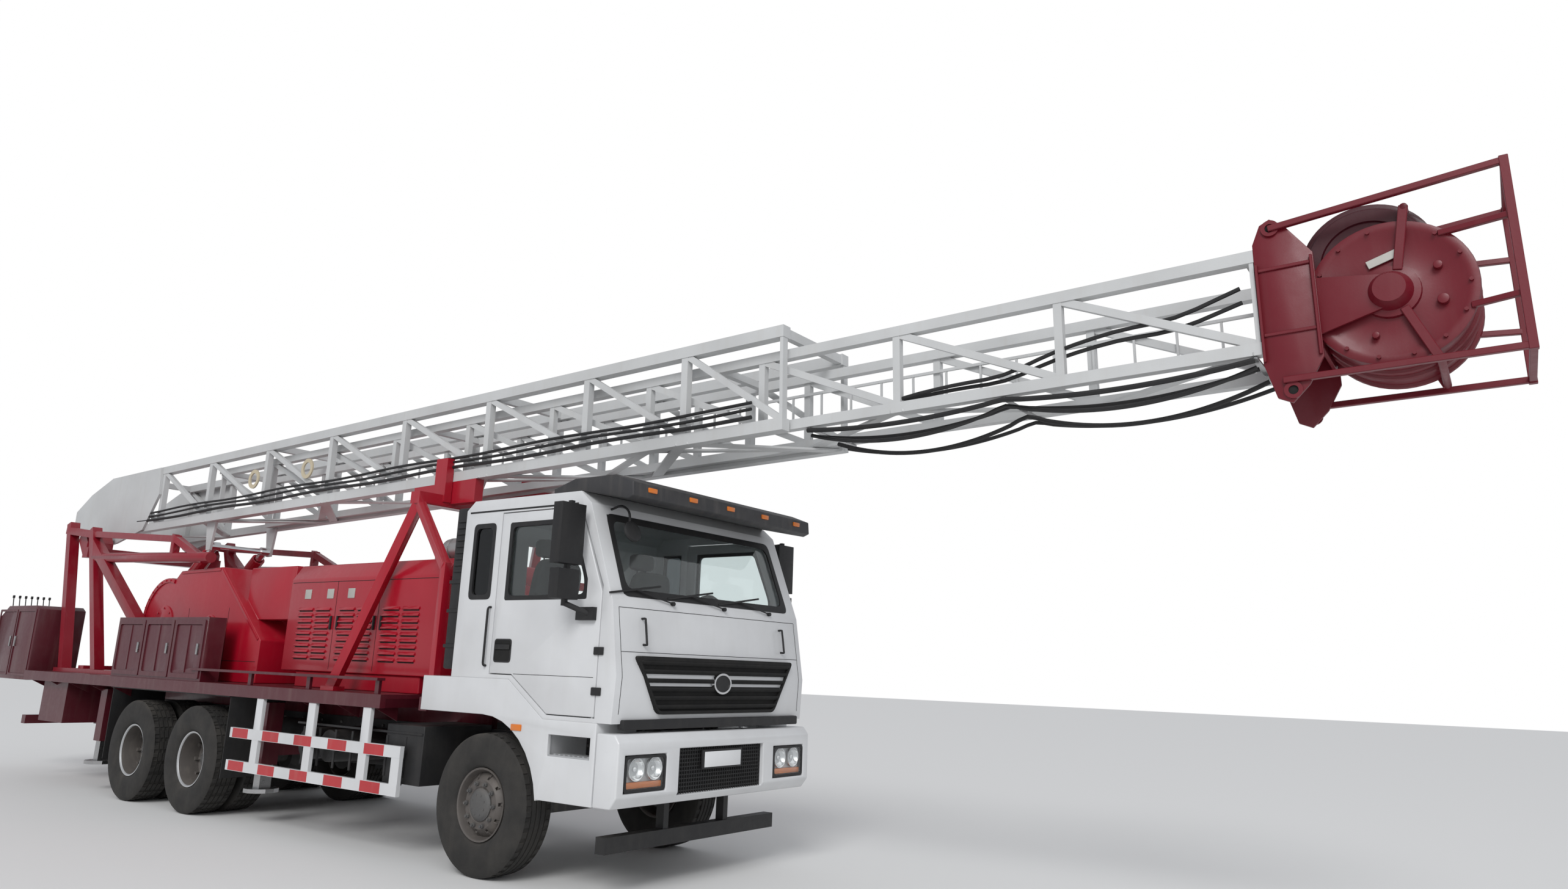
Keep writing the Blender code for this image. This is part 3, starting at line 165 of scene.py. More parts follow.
def buildWeathering():   # uneven colour, dust on upper faces, run marks, and a fine grain
    tree = bpy.data.node_groups.new("weathering", "ShaderNodeTree")
    groupSocket(tree, "Place", "NodeSocketVector")
    groupSocket(tree, "Colour", "NodeSocketColor")
    groupSocket(tree, "Dust colour", "NodeSocketColor", value=(0.42, 0.37, 0.31, 1))
    groupSocket(tree, "Dust", "NodeSocketFloat", value=0.2)
    groupSocket(tree, "Runs", "NodeSocketFloat", value=0.1)
    groupSocket(tree, "Roughness", "NodeSocketFloat", value=0.4)
    groupSocket(tree, "Grain scale", "NodeSocketFloat", value=60.0)
    groupSocket(tree, "Colour", "NodeSocketColor", "OUTPUT")
    groupSocket(tree, "Roughness", "NodeSocketFloat", "OUTPUT")
    groupSocket(tree, "Height", "NodeSocketFloat", "OUTPUT")
    nodes, links = tree.nodes, tree.links
    source = nodes.new("NodeGroupInput")
    result = nodes.new("NodeGroupOutput")

    def noise(scale, detail, vector=None):
        made = nodes.new("ShaderNodeTexNoise")
        made.inputs["Scale"].default_value = scale
        made.inputs["Detail"].default_value = detail
        links.new(vector or source.outputs["Place"], made.inputs["Vector"])
        return made.outputs["Fac"]

    def maths(operation, first, second=None):
        made = nodes.new("ShaderNodeMath")
        made.operation = operation
        made.use_clamp = operation in ("MULTIPLY", "ADD", "SUBTRACT")
        for slot, value in ((0, first), (1, second)):
            if isinstance(value, (int, float)):
                made.inputs[slot].default_value = value
            elif value is not None:
                links.new(value, made.inputs[slot])
        return made.outputs[0]

    def spread(value, low, high, newLow=0.0, newHigh=1.0):
        made = nodes.new("ShaderNodeMapRange")
        for slot, number in ((1, low), (2, high), (3, newLow), (4, newHigh)):
            made.inputs[slot].default_value = number
        links.new(value, made.inputs[0])
        return made.outputs[0]

    def blend(amount, first, second, kind="MIX"):
        made = nodes.new("ShaderNodeMix")
        made.data_type = "RGBA"
        made.blend_type = kind
        links.new(amount, made.inputs["Factor"])
        for slot, value in ((6, first), (7, second)):
            if isinstance(value, tuple):
                made.inputs[slot].default_value = value
            else:
                links.new(value, made.inputs[slot])
        return made.outputs[2]

    patches = spread(noise(1.6, 5), 0.3, 0.75)
    shaded = blend(maths("MULTIPLY", patches, 0.22), source.outputs["Colour"],
                   (0.35, 0.33, 0.32, 1), "MULTIPLY")
    stretch = nodes.new("ShaderNodeMapping")
    stretch.inputs["Scale"].default_value = (9, 9, 0.7)
    links.new(source.outputs["Place"], stretch.inputs["Vector"])
    runs = spread(noise(1.4, 6, stretch.outputs[0]), 0.52, 0.78)
    ran = blend(maths("MULTIPLY", runs, source.outputs["Runs"]), shaded,
                source.outputs["Dust colour"])
    facing = nodes.new("ShaderNodeNewGeometry")
    split = nodes.new("ShaderNodeSeparateXYZ")
    links.new(facing.outputs["Normal"], split.inputs[0])
    upward = spread(split.outputs["Z"], 0.3, 1.0, 0.25, 1.0)
    settled = maths("MULTIPLY", upward, spread(noise(5, 8), 0.35, 0.7))
    dust = maths("MULTIPLY", settled, source.outputs["Dust"])
    links.new(blend(dust, ran, source.outputs["Dust colour"]), result.inputs["Colour"])
    rough = maths("ADD", source.outputs["Roughness"], maths("MULTIPLY", dust, 0.5))
    rough = maths("ADD", rough, maths("MULTIPLY", spread(noise(18, 4), 0.3, 0.7), 0.08))
    links.new(rough, result.inputs["Roughness"])
    grain = nodes.new("ShaderNodeTexNoise")
    grain.inputs["Detail"].default_value = 3
    links.new(source.outputs["Place"], grain.inputs["Vector"])
    links.new(source.outputs["Grain scale"], grain.inputs["Scale"])
    links.new(grain.outputs["Fac"], result.inputs["Height"])
    return tree


finishes = {   # colour, roughness, metallic, coat, dust, runs, grain scale, bump
    "whitePaint": ((0.70, 0.71, 0.72), 0.32, 0, 0.5, 0.06, 0.05, 90, 0.02),
    "redPaint": ((0.40, 0.003, 0.018), 0.28, 0, 0.4, 0.03, 0.03, 80, 0.03),
    "crownPaint": ((0.15, 0.001, 0.010), 0.42, 0, 0.1, 0.0, 0.02, 80, 0.03),
    "hoodPaint": ((0.055, 0.002, 0.008), 0.45, 0, 0.1, 0.0, 0.02, 80, 0.03),
    "maroonPaint": ((0.085, 0.004, 0.012), 0.38, 0, 0.3, 0.08, 0.08, 80, 0.03),
    "mastPaint": ((0.60, 0.61, 0.61), 0.45, 0, 0.2, 0.10, 0.14, 70, 0.04),
    "greyPaint": ((0.32, 0.33, 0.33), 0.45, 0, 0.1, 0.15, 0.1, 70, 0.04),
    "silverPaint": ((0.55, 0.56, 0.57), 0.35, 0.5, 0.2, 0.1, 0.1, 70, 0.03),
    "crimsonFrame": ((0.27, 0.003, 0.016), 0.30, 0, 0.4, 0.05, 0.05, 80, 0.03),
    "greyVisor": ((0.035, 0.035, 0.038), 0.5, 0, 0, 0.14, 0.08, 90, 0.05),
    "framePaint": ((0.012, 0.012, 0.013), 0.5, 0, 0, 0.08, 0.02, 60, 0.08),
    "blackPlastic": ((0.012, 0.012, 0.013), 0.5, 0, 0, 0.03, 0.02, 160, 0.05),
    # near-black for real seams and joints, and also painted shade: flat dark sheets behind the grille
    # and intake, in the handle recesses, under the louvres and in the crown's ear holes
    "seamDarkAndPaintedShade": ((0.004, 0.004, 0.004), 0.8, 0, 0, 0.05, 0, 60, 0.02),
    "tyreRubber": ((0.022, 0.021, 0.020), 0.80, 0, 0, 0.16, 0.02, 120, 0.12),
    "wheelPaint": ((0.12, 0.108, 0.10), 0.55, 0.25, 0, 0.16, 0.14, 60, 0.08),
    "bareSteel": ((0.50, 0.50, 0.50), 0.25, 1, 0, 0.05, 0.03, 60, 0.03),
    "chrome": ((0.80, 0.80, 0.80), 0.10, 1, 0, 0.04, 0, 60, 0.0),
    "tankMetal": ((0.55, 0.55, 0.55), 0.34, 0.85, 0, 0.18, 0.12, 50, 0.05),
    "seatCloth": ((0.045, 0.045, 0.05), 0.92, 0, 0, 0.05, 0, 400, 0.3),
    "castGrey": ((0.12, 0.12, 0.12), 0.6, 0.4, 0, 0.3, 0.2, 45, 0.15),
    "creamPaint": ((0.62, 0.54, 0.38), 0.5, 0, 0.1, 0.2, 0.15, 60, 0.05),
    "amberLamp": ((0.75, 0.19, 0.01), 0.15, 0, 0.6, 0.03, 0, 60, 0.0),
    "redLamp": ((0.50, 0.01, 0.01), 0.15, 0, 0.6, 0.03, 0, 60, 0.0),
    "plateWhite": ((0.78, 0.79, 0.80), 0.4, 0, 0.2, 0.05, 0.03, 60, 0.0),
    "palePlate": ((0.55, 0.54, 0.50), 0.35, 0.3, 0.2, 0.1, 0.1, 60, 0.0),
    "stripWhite": ((0.78, 0.78, 0.76), 0.35, 0, 0.3, 0.12, 0.1, 240, 0.05),
    "stripRed": ((0.50, 0.012, 0.02), 0.35, 0, 0.3, 0.12, 0.1, 240, 0.05),
}
materials = {}


def buildMaterials():
    weathering = buildWeathering()
    for name, values in finishes.items():
        colour, roughness, metallic, coat, dust, runs, grain, bump = values
        made = bpy.data.materials.new(name)
        made.use_nodes = True
        nodes, links = made.node_tree.nodes, made.node_tree.links
        shader = nodes["Principled BSDF"]
        shader.inputs["Metallic"].default_value = metallic
        shader.inputs["Coat Weight"].default_value = coat
        shader.inputs["Coat Roughness"].default_value = 0.12
        place = nodes.new("ShaderNodeTexCoord")
        worn = nodes.new("ShaderNodeGroup")
        worn.node_tree = weathering
        worn.inputs["Colour"].default_value = (*colour, 1)
        worn.inputs["Dust"].default_value = dust
        worn.inputs["Runs"].default_value = runs
        worn.inputs["Roughness"].default_value = roughness
        worn.inputs["Grain scale"].default_value = grain
        links.new(place.outputs["Object"], worn.inputs["Place"])
        links.new(worn.outputs["Colour"], shader.inputs["Base Color"])
        links.new(worn.outputs["Roughness"], shader.inputs["Roughness"])
        lift = nodes.new("ShaderNodeBump")
        lift.inputs["Strength"].default_value = bump
        lift.inputs["Distance"].default_value = 0.01
        links.new(worn.outputs["Height"], lift.inputs["Height"])
        links.new(lift.outputs["Normal"], shader.inputs["Normal"])
        materials[name] = made
    for name, colour, roughness in (("clearGlass", (0.80, 0.86, 0.86), 0.02),
                                    ("darkGlass", (0.05, 0.06, 0.065), 0.05),
                                    ("lensGlass", (0.95, 0.97, 0.98), 0.03)):
        made = bpy.data.materials.new(name)
        made.use_nodes = True
        shader = made.node_tree.nodes["Principled BSDF"]
        shader.inputs["Base Color"].default_value = (*colour, 1)
        shader.inputs["Roughness"].default_value = roughness
        shader.inputs["Transmission Weight"].default_value = 1.0
        shader.inputs["IOR"].default_value = 1.45
        materials[name] = made
    made = bpy.data.materials.new("mirrorGlass")
    made.use_nodes = True
    shader = made.node_tree.nodes["Principled BSDF"]
    shader.inputs["Base Color"].default_value = (0.75, 0.78, 0.80, 1)
    shader.inputs["Metallic"].default_value = 1.0
    shader.inputs["Roughness"].default_value = 0.04
    materials["mirrorGlass"] = made


# ---- making pieces ----
def piece(name, bm, finish, body="rig", angle=35, replaces=()):
    bmesh.ops.recalc_face_normals(bm, faces=bm.faces)
    mesh = bpy.data.meshes.new(name)
    bm.to_mesh(mesh)
    bm.free()
    mesh.shade_smooth()
    mesh.set_sharp_from_angle(angle=radians(angle))
    mesh.materials.append(materials[finish])
    made = bpy.data.objects.new(name, mesh)
    scene.collection.objects.link(made)
    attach(made, body)
    if replaces:
        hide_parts(*replaces)
    return made


def joinInto(bm, other):
    mesh = bpy.data.meshes.new("part")
    other.to_mesh(mesh)
    other.free()
    bm.from_mesh(mesh)
    bpy.data.meshes.remove(mesh)


def soften(bm, width, segments=2, least=25):
    edges = [edge for edge in bm.edges if len(edge.link_faces) == 2
             and edge.calc_face_angle(0) > radians(least)]
    bmesh.ops.bevel(bm, geom=edges, offset=width, offset_type="OFFSET", affect="EDGES",
                    segments=segments, profile=0.5, material=-1, clamp_overlap=True)


def addBox(bm, x0, x1, y0, y1, z0, z1, bevel=0.0, turn=None):
    part = bmesh.new()
    bmesh.ops.create_cube(part, size=1)
    bmesh.ops.scale(part, vec=(abs(x1 - x0), abs(y1 - y0), abs(z1 - z0)), verts=part.verts)
    if bevel:
        soften(part, bevel)
    if turn:
        bmesh.ops.transform(part, matrix=turn.to_4x4(), verts=part.verts)
    bmesh.ops.translate(part, vec=((x0 + x1) / 2, (y0 + y1) / 2, (z0 + z1) / 2),
                        verts=part.verts)
    joinInto(bm, part)


def addBar(bm, start, end, wide, tall, bevel=0.0):
    start, end = Vector(start), Vector(end)
    along = (end - start).normalized()
    side = along.cross(Vector((0, 0, 1)))
    side = side.normalized() if side.length > 0.01 else Vector((0, 1, 0))
    part = bmesh.new()
    bmesh.ops.create_cube(part, size=1)
    bmesh.ops.scale(part, vec=((end - start).length, wide, tall), verts=part.verts)
    if bevel:
        soften(part, bevel, 1)
    turn = Matrix((along, side, side.cross(along))).transposed().to_4x4()
    bmesh.ops.transform(part, matrix=Matrix.Translation((start + end) / 2) @ turn,
                        verts=part.verts)
    joinInto(bm, part)


def addRod(bm, start, end, radius, sides=16, bevel=0.0, endRadius=None):
    start, end = Vector(start), Vector(end)
    part = bmesh.new()
    bmesh.ops.create_cone(part, cap_ends=True, segments=sides, radius1=radius,
                          radius2=radius if endRadius is None else endRadius,
                          depth=(end - start).length)
    if bevel:
        soften(part, bevel, 2, 60)
    turn = Vector((0, 0, 1)).rotation_difference((end - start).normalized())
    bmesh.ops.transform(part, matrix=Matrix.Translation((start + end) / 2)
                        @ turn.to_matrix().to_4x4(), verts=part.verts)
    joinInto(bm, part)


def addPlate(bm, outline, start, end, axis="y", bevel=0.0):   # outline drawn square to axis
    part = bmesh.new()
    if axis == "y":
        points = [(u, start, w) for u, w in outline]
        move = (0, end - start, 0)
    elif axis == "x":
        points = [(start, u, w) for u, w in outline]
        move = (end - start, 0, 0)
    else:
        points = [(u, w, start) for u, w in outline]
        move = (0, 0, end - start)
    face = part.faces.new([part.verts.new(point) for point in points])
    made = bmesh.ops.extrude_face_region(part, geom=[face])
    bmesh.ops.translate(part, vec=move,
                        verts=[item for item in made["geom"] if isinstance(item, bmesh.types.BMVert)])
    bmesh.ops.recalc_face_normals(part, faces=part.faces)
    if bevel:
        soften(part, bevel)
    joinInto(bm, part)


def addTurned(bm, outline, centre, axis, steps=48):   # outline of (offset along axis, radius)
    axis = Vector(axis)
    side = Vector((0, 0, 1)) if abs(axis.z) < 0.9 else Vector((1, 0, 0))
    part = bmesh.new()
    points = [part.verts.new(Vector(centre) + axis * offset + side * radius)
              for offset, radius in outline]
    edges = [part.edges.new(pair) for pair in zip(points, points[1:])]
    bmesh.ops.spin(part, geom=points + edges, cent=centre, axis=axis, angle=2 * pi,
                   steps=steps, use_merge=True, use_normal_flip=False)
    bmesh.ops.remove_doubles(part, verts=part.verts, dist=0.00005)
    bmesh.ops.recalc_face_normals(part, faces=part.faces)
    joinInto(bm, part)


def smoothRoute(points, steps=8):
    points = [Vector(point) for point in points]
    ends = [points[0] * 2 - points[1]] + points + [points[-1] * 2 - points[-2]]
    route = []
    for k in range(len(points) - 1):
        a, b, c, d = ends[k:k + 4]
        for step in range(steps):
            t = step / steps
            route.append(0.5 * (2 * b + (c - a) * t + (2 * a - 5 * b + 4 * c - d) * t * t
                                + (3 * b - a - 3 * c + d) * t ** 3))
    return route + [points[-1]]


def addHose(bm, points, radius, sides=8, steps=8):
    route = smoothRoute(points, steps)
    part = bmesh.new()
    ring = None
    for k, point in enumerate(route):
        before, after = route[max(k - 1, 0)], route[min(k + 1, len(route) - 1)]
        ahead = (after - before).normalized()
        side = ahead.cross(Vector((0, 0, 1)))
        side = side.normalized() if side.length > 0.01 else Vector((1, 0, 0))
        up = side.cross(ahead)
        made = [part.verts.new(point + (side * cos(2 * pi * s / sides)
                                        + up * sin(2 * pi * s / sides)) * radius)
                for s in range(sides)]
        edges = [part.edges.new((made[s - 1], made[s])) for s in range(sides)]
        if ring:
            bmesh.ops.bridge_loops(part, edges=ring + edges)
        ring = edges
    bmesh.ops.holes_fill(part, edges=part.edges, sides=sides)
    bmesh.ops.recalc_face_normals(part, faces=part.faces)
    joinInto(bm, part)


def copyOf(node, merge=0.0003):
    bm = bmesh.new()
    bm.from_mesh(frame["nodes"][node].data)
    bmesh.ops.remove_doubles(bm, verts=bm.verts, dist=merge)
    bmesh.ops.dissolve_limit(bm, angle_limit=radians(0.8), verts=bm.verts, edges=bm.edges)
    return bm


def softPiece(node, finish, body="rig", width=0.006, segments=2, name=None):
    bm = copyOf(node)
    soften(bm, width, segments)
    return piece(name or node + "_body", bm, finish, body, replaces=(node,))


def paintNode(node, finish):
    thing = frame["nodes"][node]
    thing.data.materials.clear()
    thing.data.materials.append(materials[finish])


def loopFrame(bm, outer, inner, start, end, axis="y"):   # flat ring between two outlines
    part = bmesh.new()

    def loop(outline):
        if axis == "y":
            spots = [(u, start, w) for u, w in outline]
        else:
            spots = [(start, u, w) for u, w in outline]
        made = [part.verts.new(spot) for spot in spots]
        return [part.edges.new((made[k - 1], made[k])) for k in range(len(made))]
    ring = bmesh.ops.bridge_loops(part, edges=loop(outer) + loop(inner))
    made = bmesh.ops.extrude_face_region(part, geom=ring["faces"])
    move = (0, end - start, 0) if axis == "y" else (end - start, 0, 0)
    bmesh.ops.translate(part, vec=move,
                        verts=[item for item in made["geom"] if isinstance(item, bmesh.types.BMVert)])
    bmesh.ops.recalc_face_normals(part, faces=part.faces)
    joinInto(bm, part)


def rounded(corners, radius, steps=4):   # outline with its corners rounded
    points = []
    count = len(corners)
    for k, corner in enumerate(corners):
        here = Vector(corner)
        before = (Vector(corners[k - 1]) - here).normalized()
        after = (Vector(corners[(k + 1) % count]) - here).normalized()
        for step in range(steps + 1):
            t = step / steps
            points.append(tuple(here + before * radius * (1 - t) ** 2 + after * radius * t ** 2))
    return points


# ---- wheels ----
tyre = {"radius": 0.56, "width": 0.315, "bead": 0.285, "steps": 84, "groove": 0.012,
        "grooveHalf": 0.006}
wheel = {"nutCircle": 0.168, "nuts": 10, "nutSize": 0.019, "dualHalf": 0.175, "steps": 40}


def tyreOutline():
    half, radius, bead = tyre["width"] / 2, tyre["radius"], tyre["bead"]
    side = [(-0.60, bead), (-0.74, bead + 0.004), (-0.84, bead + 0.02), (-0.90, bead + 0.03),
            (-0.985, bead + 0.085), (-1.0, bead + 0.13), (-0.985, radius - 0.08),
            (-0.93, radius - 0.04), (-0.86, radius - 0.012), (-0.80, radius - 0.003)]
    outline = [(offset * half, height) for offset, height in side]
    for place in (-0.46, -0.155, 0.155, 0.46):
        middle, wide = place * half, tyre["grooveHalf"]
        outline += [(middle - wide, radius), (middle - wide * 0.5, radius - tyre["groove"]),
                    (middle + wide * 0.5, radius - tyre["groove"]), (middle + wide, radius)]
    outline += [(-offset * half, height) for offset, height in reversed(side)]
    return outline + [outline[0]]


def addTyre(bm, centre, drive):   # a drive tyre has blocks, a steering tyre has ribs
    part = bmesh.new()
    addTurned(part, tyreOutline(), centre, (0, 1, 0), tyre["steps"])
    half = tyre["width"] / 2
    chosen = []
    for face in part.faces:
        middle = face.calc_center_median() - Vector(centre)
        distance = hypot(middle.x, middle.z)
        step = int(round(atan2(middle.z, middle.x) / (2 * pi) * tyre["steps"] - 0.5))
        if distance < tyre["radius"] - 0.02 or face.normal.length < 0.5:
            continue
        outer = abs(middle.y) > 0.50 * half
        if outer and step % 2 == 0 and distance > tyre["radius"] - 0.004:
            chosen.append(face)
        elif drive and step % 3 == 0 and distance > tyre["radius"] - 0.004:
            chosen.append(face)
    bmesh.ops.inset_individual(part, faces=chosen, thickness=0.0045, depth=-0.009)
    joinInto(bm, part)


def wheelDisc(bm, centre, side, outline, band):
    part = bmesh.new()
    axis = Vector((0, side, 0))
    addTurned(part, outline, centre, axis, wheel["steps"])
    low, high = band
    holes = []
    for face in part.faces:
        middle = face.calc_center_median() - Vector(centre)
        distance = hypot(middle.x, middle.z)
        step = int(round(atan2(middle.z, middle.x) / (2 * pi) * wheel["steps"] - 0.5))
        if low < distance < high and middle.dot(axis) > 0 and step % 4 == 0:
            holes.append(face)
    bmesh.ops.inset_individual(part, faces=holes, thickness=0.005, depth=-0.002)
    bmesh.ops.inset_individual(part, faces=holes, thickness=0.002, depth=-0.03)
    joinInto(bm, part)


def addNuts(bm, centre, side, offset):
    for k in range(wheel["nuts"]):
        turn = 2 * pi * k / wheel["nuts"]
        spot = Vector(centre) + Vector((cos(turn), 0, sin(turn))) * wheel["nutCircle"]
        spot.y += side * offset
        end = spot + Vector((0, side * 0.022, 0))
        addRod(bm, spot - Vector((0, side * 0.01, 0)), end, wheel["nutSize"], 6, 0.002)
        addRod(bm, end, end + Vector((0, side * 0.012, 0)), 0.011, 10)


def buildWheels():
    frontFace = [(-0.118, 0.281), (0.118, 0.281), (0.127, 0.289), (0.133, 0.287),
                 (0.128, 0.274), (0.105, 0.264), (0.072, 0.258), (0.060, 0.250),
                 (0.075, 0.242), (0.112, 0.200), (0.122, 0.190), (0.124, 0.142),
                 (0.118, 0.132), (0.118, 0.0)]
    frontBack = [(-0.056, 0.0), (-0.056, 0.12), (0.075, 0.15), (0.085, 0.20), (0.04, 0.236),
                 (-0.02, 0.252), (-0.112, 0.262), (-0.125, 0.274), (-0.128, 0.289)]
    rearFace = [(-0.300, 0.281), (0.298, 0.281), (0.301, 0.289), (0.295, 0.289),
                (0.288, 0.274), (0.262, 0.267), (0.13, 0.263), (0.085, 0.258),
                (0.045, 0.200), (0.034, 0.190), (0.030, 0.142), (0.040, 0.132), (0.040, 0.0)]
    rearBack = [(-0.082, 0.0), (-0.082, 0.19), (-0.05, 0.205), (-0.10, 0.258),
                (-0.262, 0.267), (-0.292, 0.274), (-0.301, 0.289)]
    for side, s in (("left", 1), ("right", -1)):
        for axle, x in (("front", axleX), ("middle", middleX), ("rear", rearX)):
            twin = axle != "front"
            body = f"{axle}_wheels_{side}" if twin else f"front_wheel_{side}"
            y = s * (0.8875 if twin else 1.05)
            spots = [y - wheel["dualHalf"], y + wheel["dualHalf"]] if twin else [y]
            bm = bmesh.new()
            for spot in spots:
                addTyre(bm, (x, spot, axleZ), twin)
            tyres = f"{axle}_tyres_{side}" if twin else f"front_tyre_{side}"
            piece(f"{axle}Tyre_{side}", bm, "tyreRubber", body, 30, (tyres,))
            face, back = (rearFace, rearBack) if twin else (frontFace, frontBack)
            outline = face + back
            bm = bmesh.new()
            wheelDisc(bm, (x, y, axleZ), s, outline + [outline[0]],
                      (0.20, 0.26) if twin else (0.20, 0.242))
            rims = f"{axle}_rims_{side}" if twin else f"front_rim_{side}"
            piece(f"{axle}Disc_{side}", bm, "wheelPaint", body, 30, (rims,))
            bm = bmesh.new()
            start = 0.02 if twin else 0.10
            hub = [(start, 0.0), (start, 0.128), (start + 0.028, 0.128), (start + 0.034, 0.118)]
            if twin:
                hub += [(0.10, 0.112), (0.135, 0.106), (0.15, 0.09), (0.152, 0.05),
                        (0.145, 0.04), (0.145, 0.0)]
            else:
                hub += [(0.140, 0.112), (0.147, 0.10), (0.152, 0.07), (0.148, 0.0)]
            addTurned(bm, hub, (x, y, axleZ), (0, s, 0), 32)
            for k in range(8):   # cap bolts on the hub
                turn = 2 * pi * (k + 0.5) / 8
                spot = Vector((x + cos(turn) * 0.078, y + s * (0.144 if twin else 0.142),
                               axleZ + sin(turn) * 0.078))
                addRod(bm, spot, spot + Vector((0, s * 0.011, 0)), 0.009, 6)
            addNuts(bm, (x, y, axleZ), s, 0.032 if twin else 0.123)
            piece(f"{axle}Hub_{side}", bm, "castGrey", body, 30)
            if twin:   # pale ring on the outer rim flange
                bm = bmesh.new()
                ring = [(0.288, 0.268), (0.2985, 0.273), (0.3022, 0.281), (0.3022, 0.288),
                        (0.297, 0.288), (0.284, 0.272), (0.288, 0.268)]
                addTurned(bm, ring, (x, y, axleZ), (0, s, 0), 56)
                piece(f"{axle}RimRing_{side}", bm, "silverPaint", body)
    print("wheels made")


# ---- cab ----
def frontX(z):   # the cab's front face at a height
    stations = [(1.27, -0.02), (1.62, 0.0), (2.18, -0.09), (2.96, -0.40), (3.06, -0.52)]
    for (low, first), (high, second) in zip(stations, stations[1:]):
        if z <= high:
            return cabFront + first + (second - first) * max(0, z - low) / (high - low)
    return cabFront + stations[-1][1]


windscreen = {"half": 1.09, "low": 2.24, "high": 2.88, "rubber": 0.045}
grille = {"low": 1.36, "high": 1.75, "halfLow": 0.76, "halfHigh": 1.0, "slats": 6}


def grilleHalf(z):
    share = (z - grille["low"]) / (grille["high"] - grille["low"])
    return grille["halfLow"] + (grille["halfHigh"] - grille["halfLow"]) * share


def buildScreen():
    half, low, high = windscreen["half"], windscreen["low"], windscreen["high"]
    edge = windscreen["rubber"]
    outer = rounded([(-half - 0.015, low - 0.015), (half + 0.015, low - 0.015),
                     (half + 0.005, high + 0.012), (-half - 0.005, high + 0.012)], 0.07, 5)
    inner = rounded([(-half + edge, low + edge), (half - edge, low + edge),
                     (half - edge, high - edge), (-half + edge, high - edge)], 0.08, 5)
    bm = bmesh.new()
    loopFrame(bm, outer, inner, 0.0, 0.014, "x")
    for vertex in bm.verts:   # laid on the sloping front
        vertex.co.x += frontX(vertex.co.z) - 0.010
    piece("screenRubber", bm, "blackPlastic")
    bm = bmesh.new()
    for y, lean in ((-0.55, 1), (0.12, 1), (0.78, 1)):   # wipers
        low = Vector((frontX(2.20) + 0.02, y, 2.20))
        high = Vector((frontX(2.30) + 0.030, y - 0.42 * lean, 2.285))
        addRod(bm, low - Vector((0.03, 0, 0)), low + Vector((0.012, 0, 0)), 0.017, 12, 0.003)
        addBar(bm, low, high, 0.012, 0.010, 0.002)
        across = Vector((0, 1, 0.16)).normalized()
        addBar(bm, high - across * 0.29, high + across * 0.29, 0.010, 0.016, 0.002)
    piece("wipers", bm, "blackPlastic")
    print("windscreen made")


def buildCabFront():
    bm = bmesh.new()
    x = cabFront
    back = [(-grilleHalf(1.33) - 0.02, 1.335), (grilleHalf(1.33) + 0.02, 1.335),
            (1.035, 1.775), (-1.035, 1.775)]
    inner = [(-grille["halfLow"], 1.36), (grille["halfLow"], 1.36), (0.995, 1.745),
             (-0.995, 1.745)]
    loopFrame(bm, rounded(back, 0.05), rounded(inner, 0.04), x - 0.03, x + 0.022, "x")
    for k in range(grille["slats"]):
        z = grille["low"] + 0.032 + k * (0.385 - 0.05) / (grille["slats"] - 1)
        half = grilleHalf(z) + 0.01
        outline = [(x - 0.02, z - 0.021), (x + 0.012, z - 0.016), (x + 0.026, z + 0.004),
                   (x + 0.024, z + 0.017), (x - 0.02, z + 0.013)]
        addPlate(bm, outline, -half, half, "y", 0.003)
    piece("grille", bm, "seamDarkAndPaintedShade")
    # painted shade: a flat near-black sheet behind the grille slats, standing for the shaded inside of
    # the grille
    bm = bmesh.new()
    addPlate(bm, [(-0.99, 1.755), (0.99, 1.755), (0.76, 1.352), (-0.76, 1.352)],
             x - 0.012, x - 0.004, "x")
    piece("grilleShadeSheet", bm, "seamDarkAndPaintedShade")
    bm = bmesh.new()   # bare oval in the middle of the grille
    loop = [(0.115 * cos(2 * pi * k / 40), 1.575 + 0.085 * sin(2 * pi * k / 40))
            for k in range(40)]
    hole = [(0.098 * cos(2 * pi * k / 40), 1.575 + 0.069 * sin(2 * pi * k / 40))
            for k in range(40)]
    loopFrame(bm, loop, hole, x + 0.01, x + 0.038, "x")
    piece("emblemRing", bm, "chrome")
    bm = bmesh.new()
    addPlate(bm, hole, x + 0.01, x + 0.030, "x")
    piece("emblemPlate", bm, "blackPlastic")
    bm = bmesh.new()
    addBox(bm, x - 0.05, x + 0.020, -1.14, 1.14, 1.225, 1.300, 0.012)
    piece("lowerBand", bm, "blackPlastic")
    bm = bmesh.new()   # seam of the front flap, and a grip under the windscreen
    for z0, z1, y0, y1 in ((2.135, 2.139, -1.17, 1.17), (1.80, 1.804, -1.17, 1.17)):
        addBox(bm, frontX(z0) - 0.02, frontX(z0) + 0.0015, y0, y1, z0, z1)
    for s in (-1, 1):
        addPlate(bm, [(frontX(1.34) - 0.02, 1.34), (frontX(1.34) + 0.0015, 1.34),
                      (frontX(1.62) + 0.0015, 1.62), (frontX(2.135) + 0.0015, 2.135),
                      (frontX(2.135) - 0.02, 2.135)], s * 1.168, s * 1.172, "y")
    piece("frontSeams", bm, "seamDarkAndPaintedShade")
    bm = bmesh.new()
    for s in (-1, 1):
        z0, z1 = 1.86, 2.06
        y = s * 0.92
        low, high = Vector((frontX(z0), y, z0)), Vector((frontX(z1), y, z1))
        out = Vector((0.04, 0, 0))
        addHose(bm, [low, low + out * 0.9, low.lerp(high, 0.1) + out,
                     low.lerp(high, 0.9) + out, high + out * 0.9, high], 0.009, 8, 3)
    piece("frontGrips", bm, "blackPlastic")
    print("cab front made")


lamps = {"inner": 0.70, "outer": 1.16, "low": 0.78, "high": 1.05}


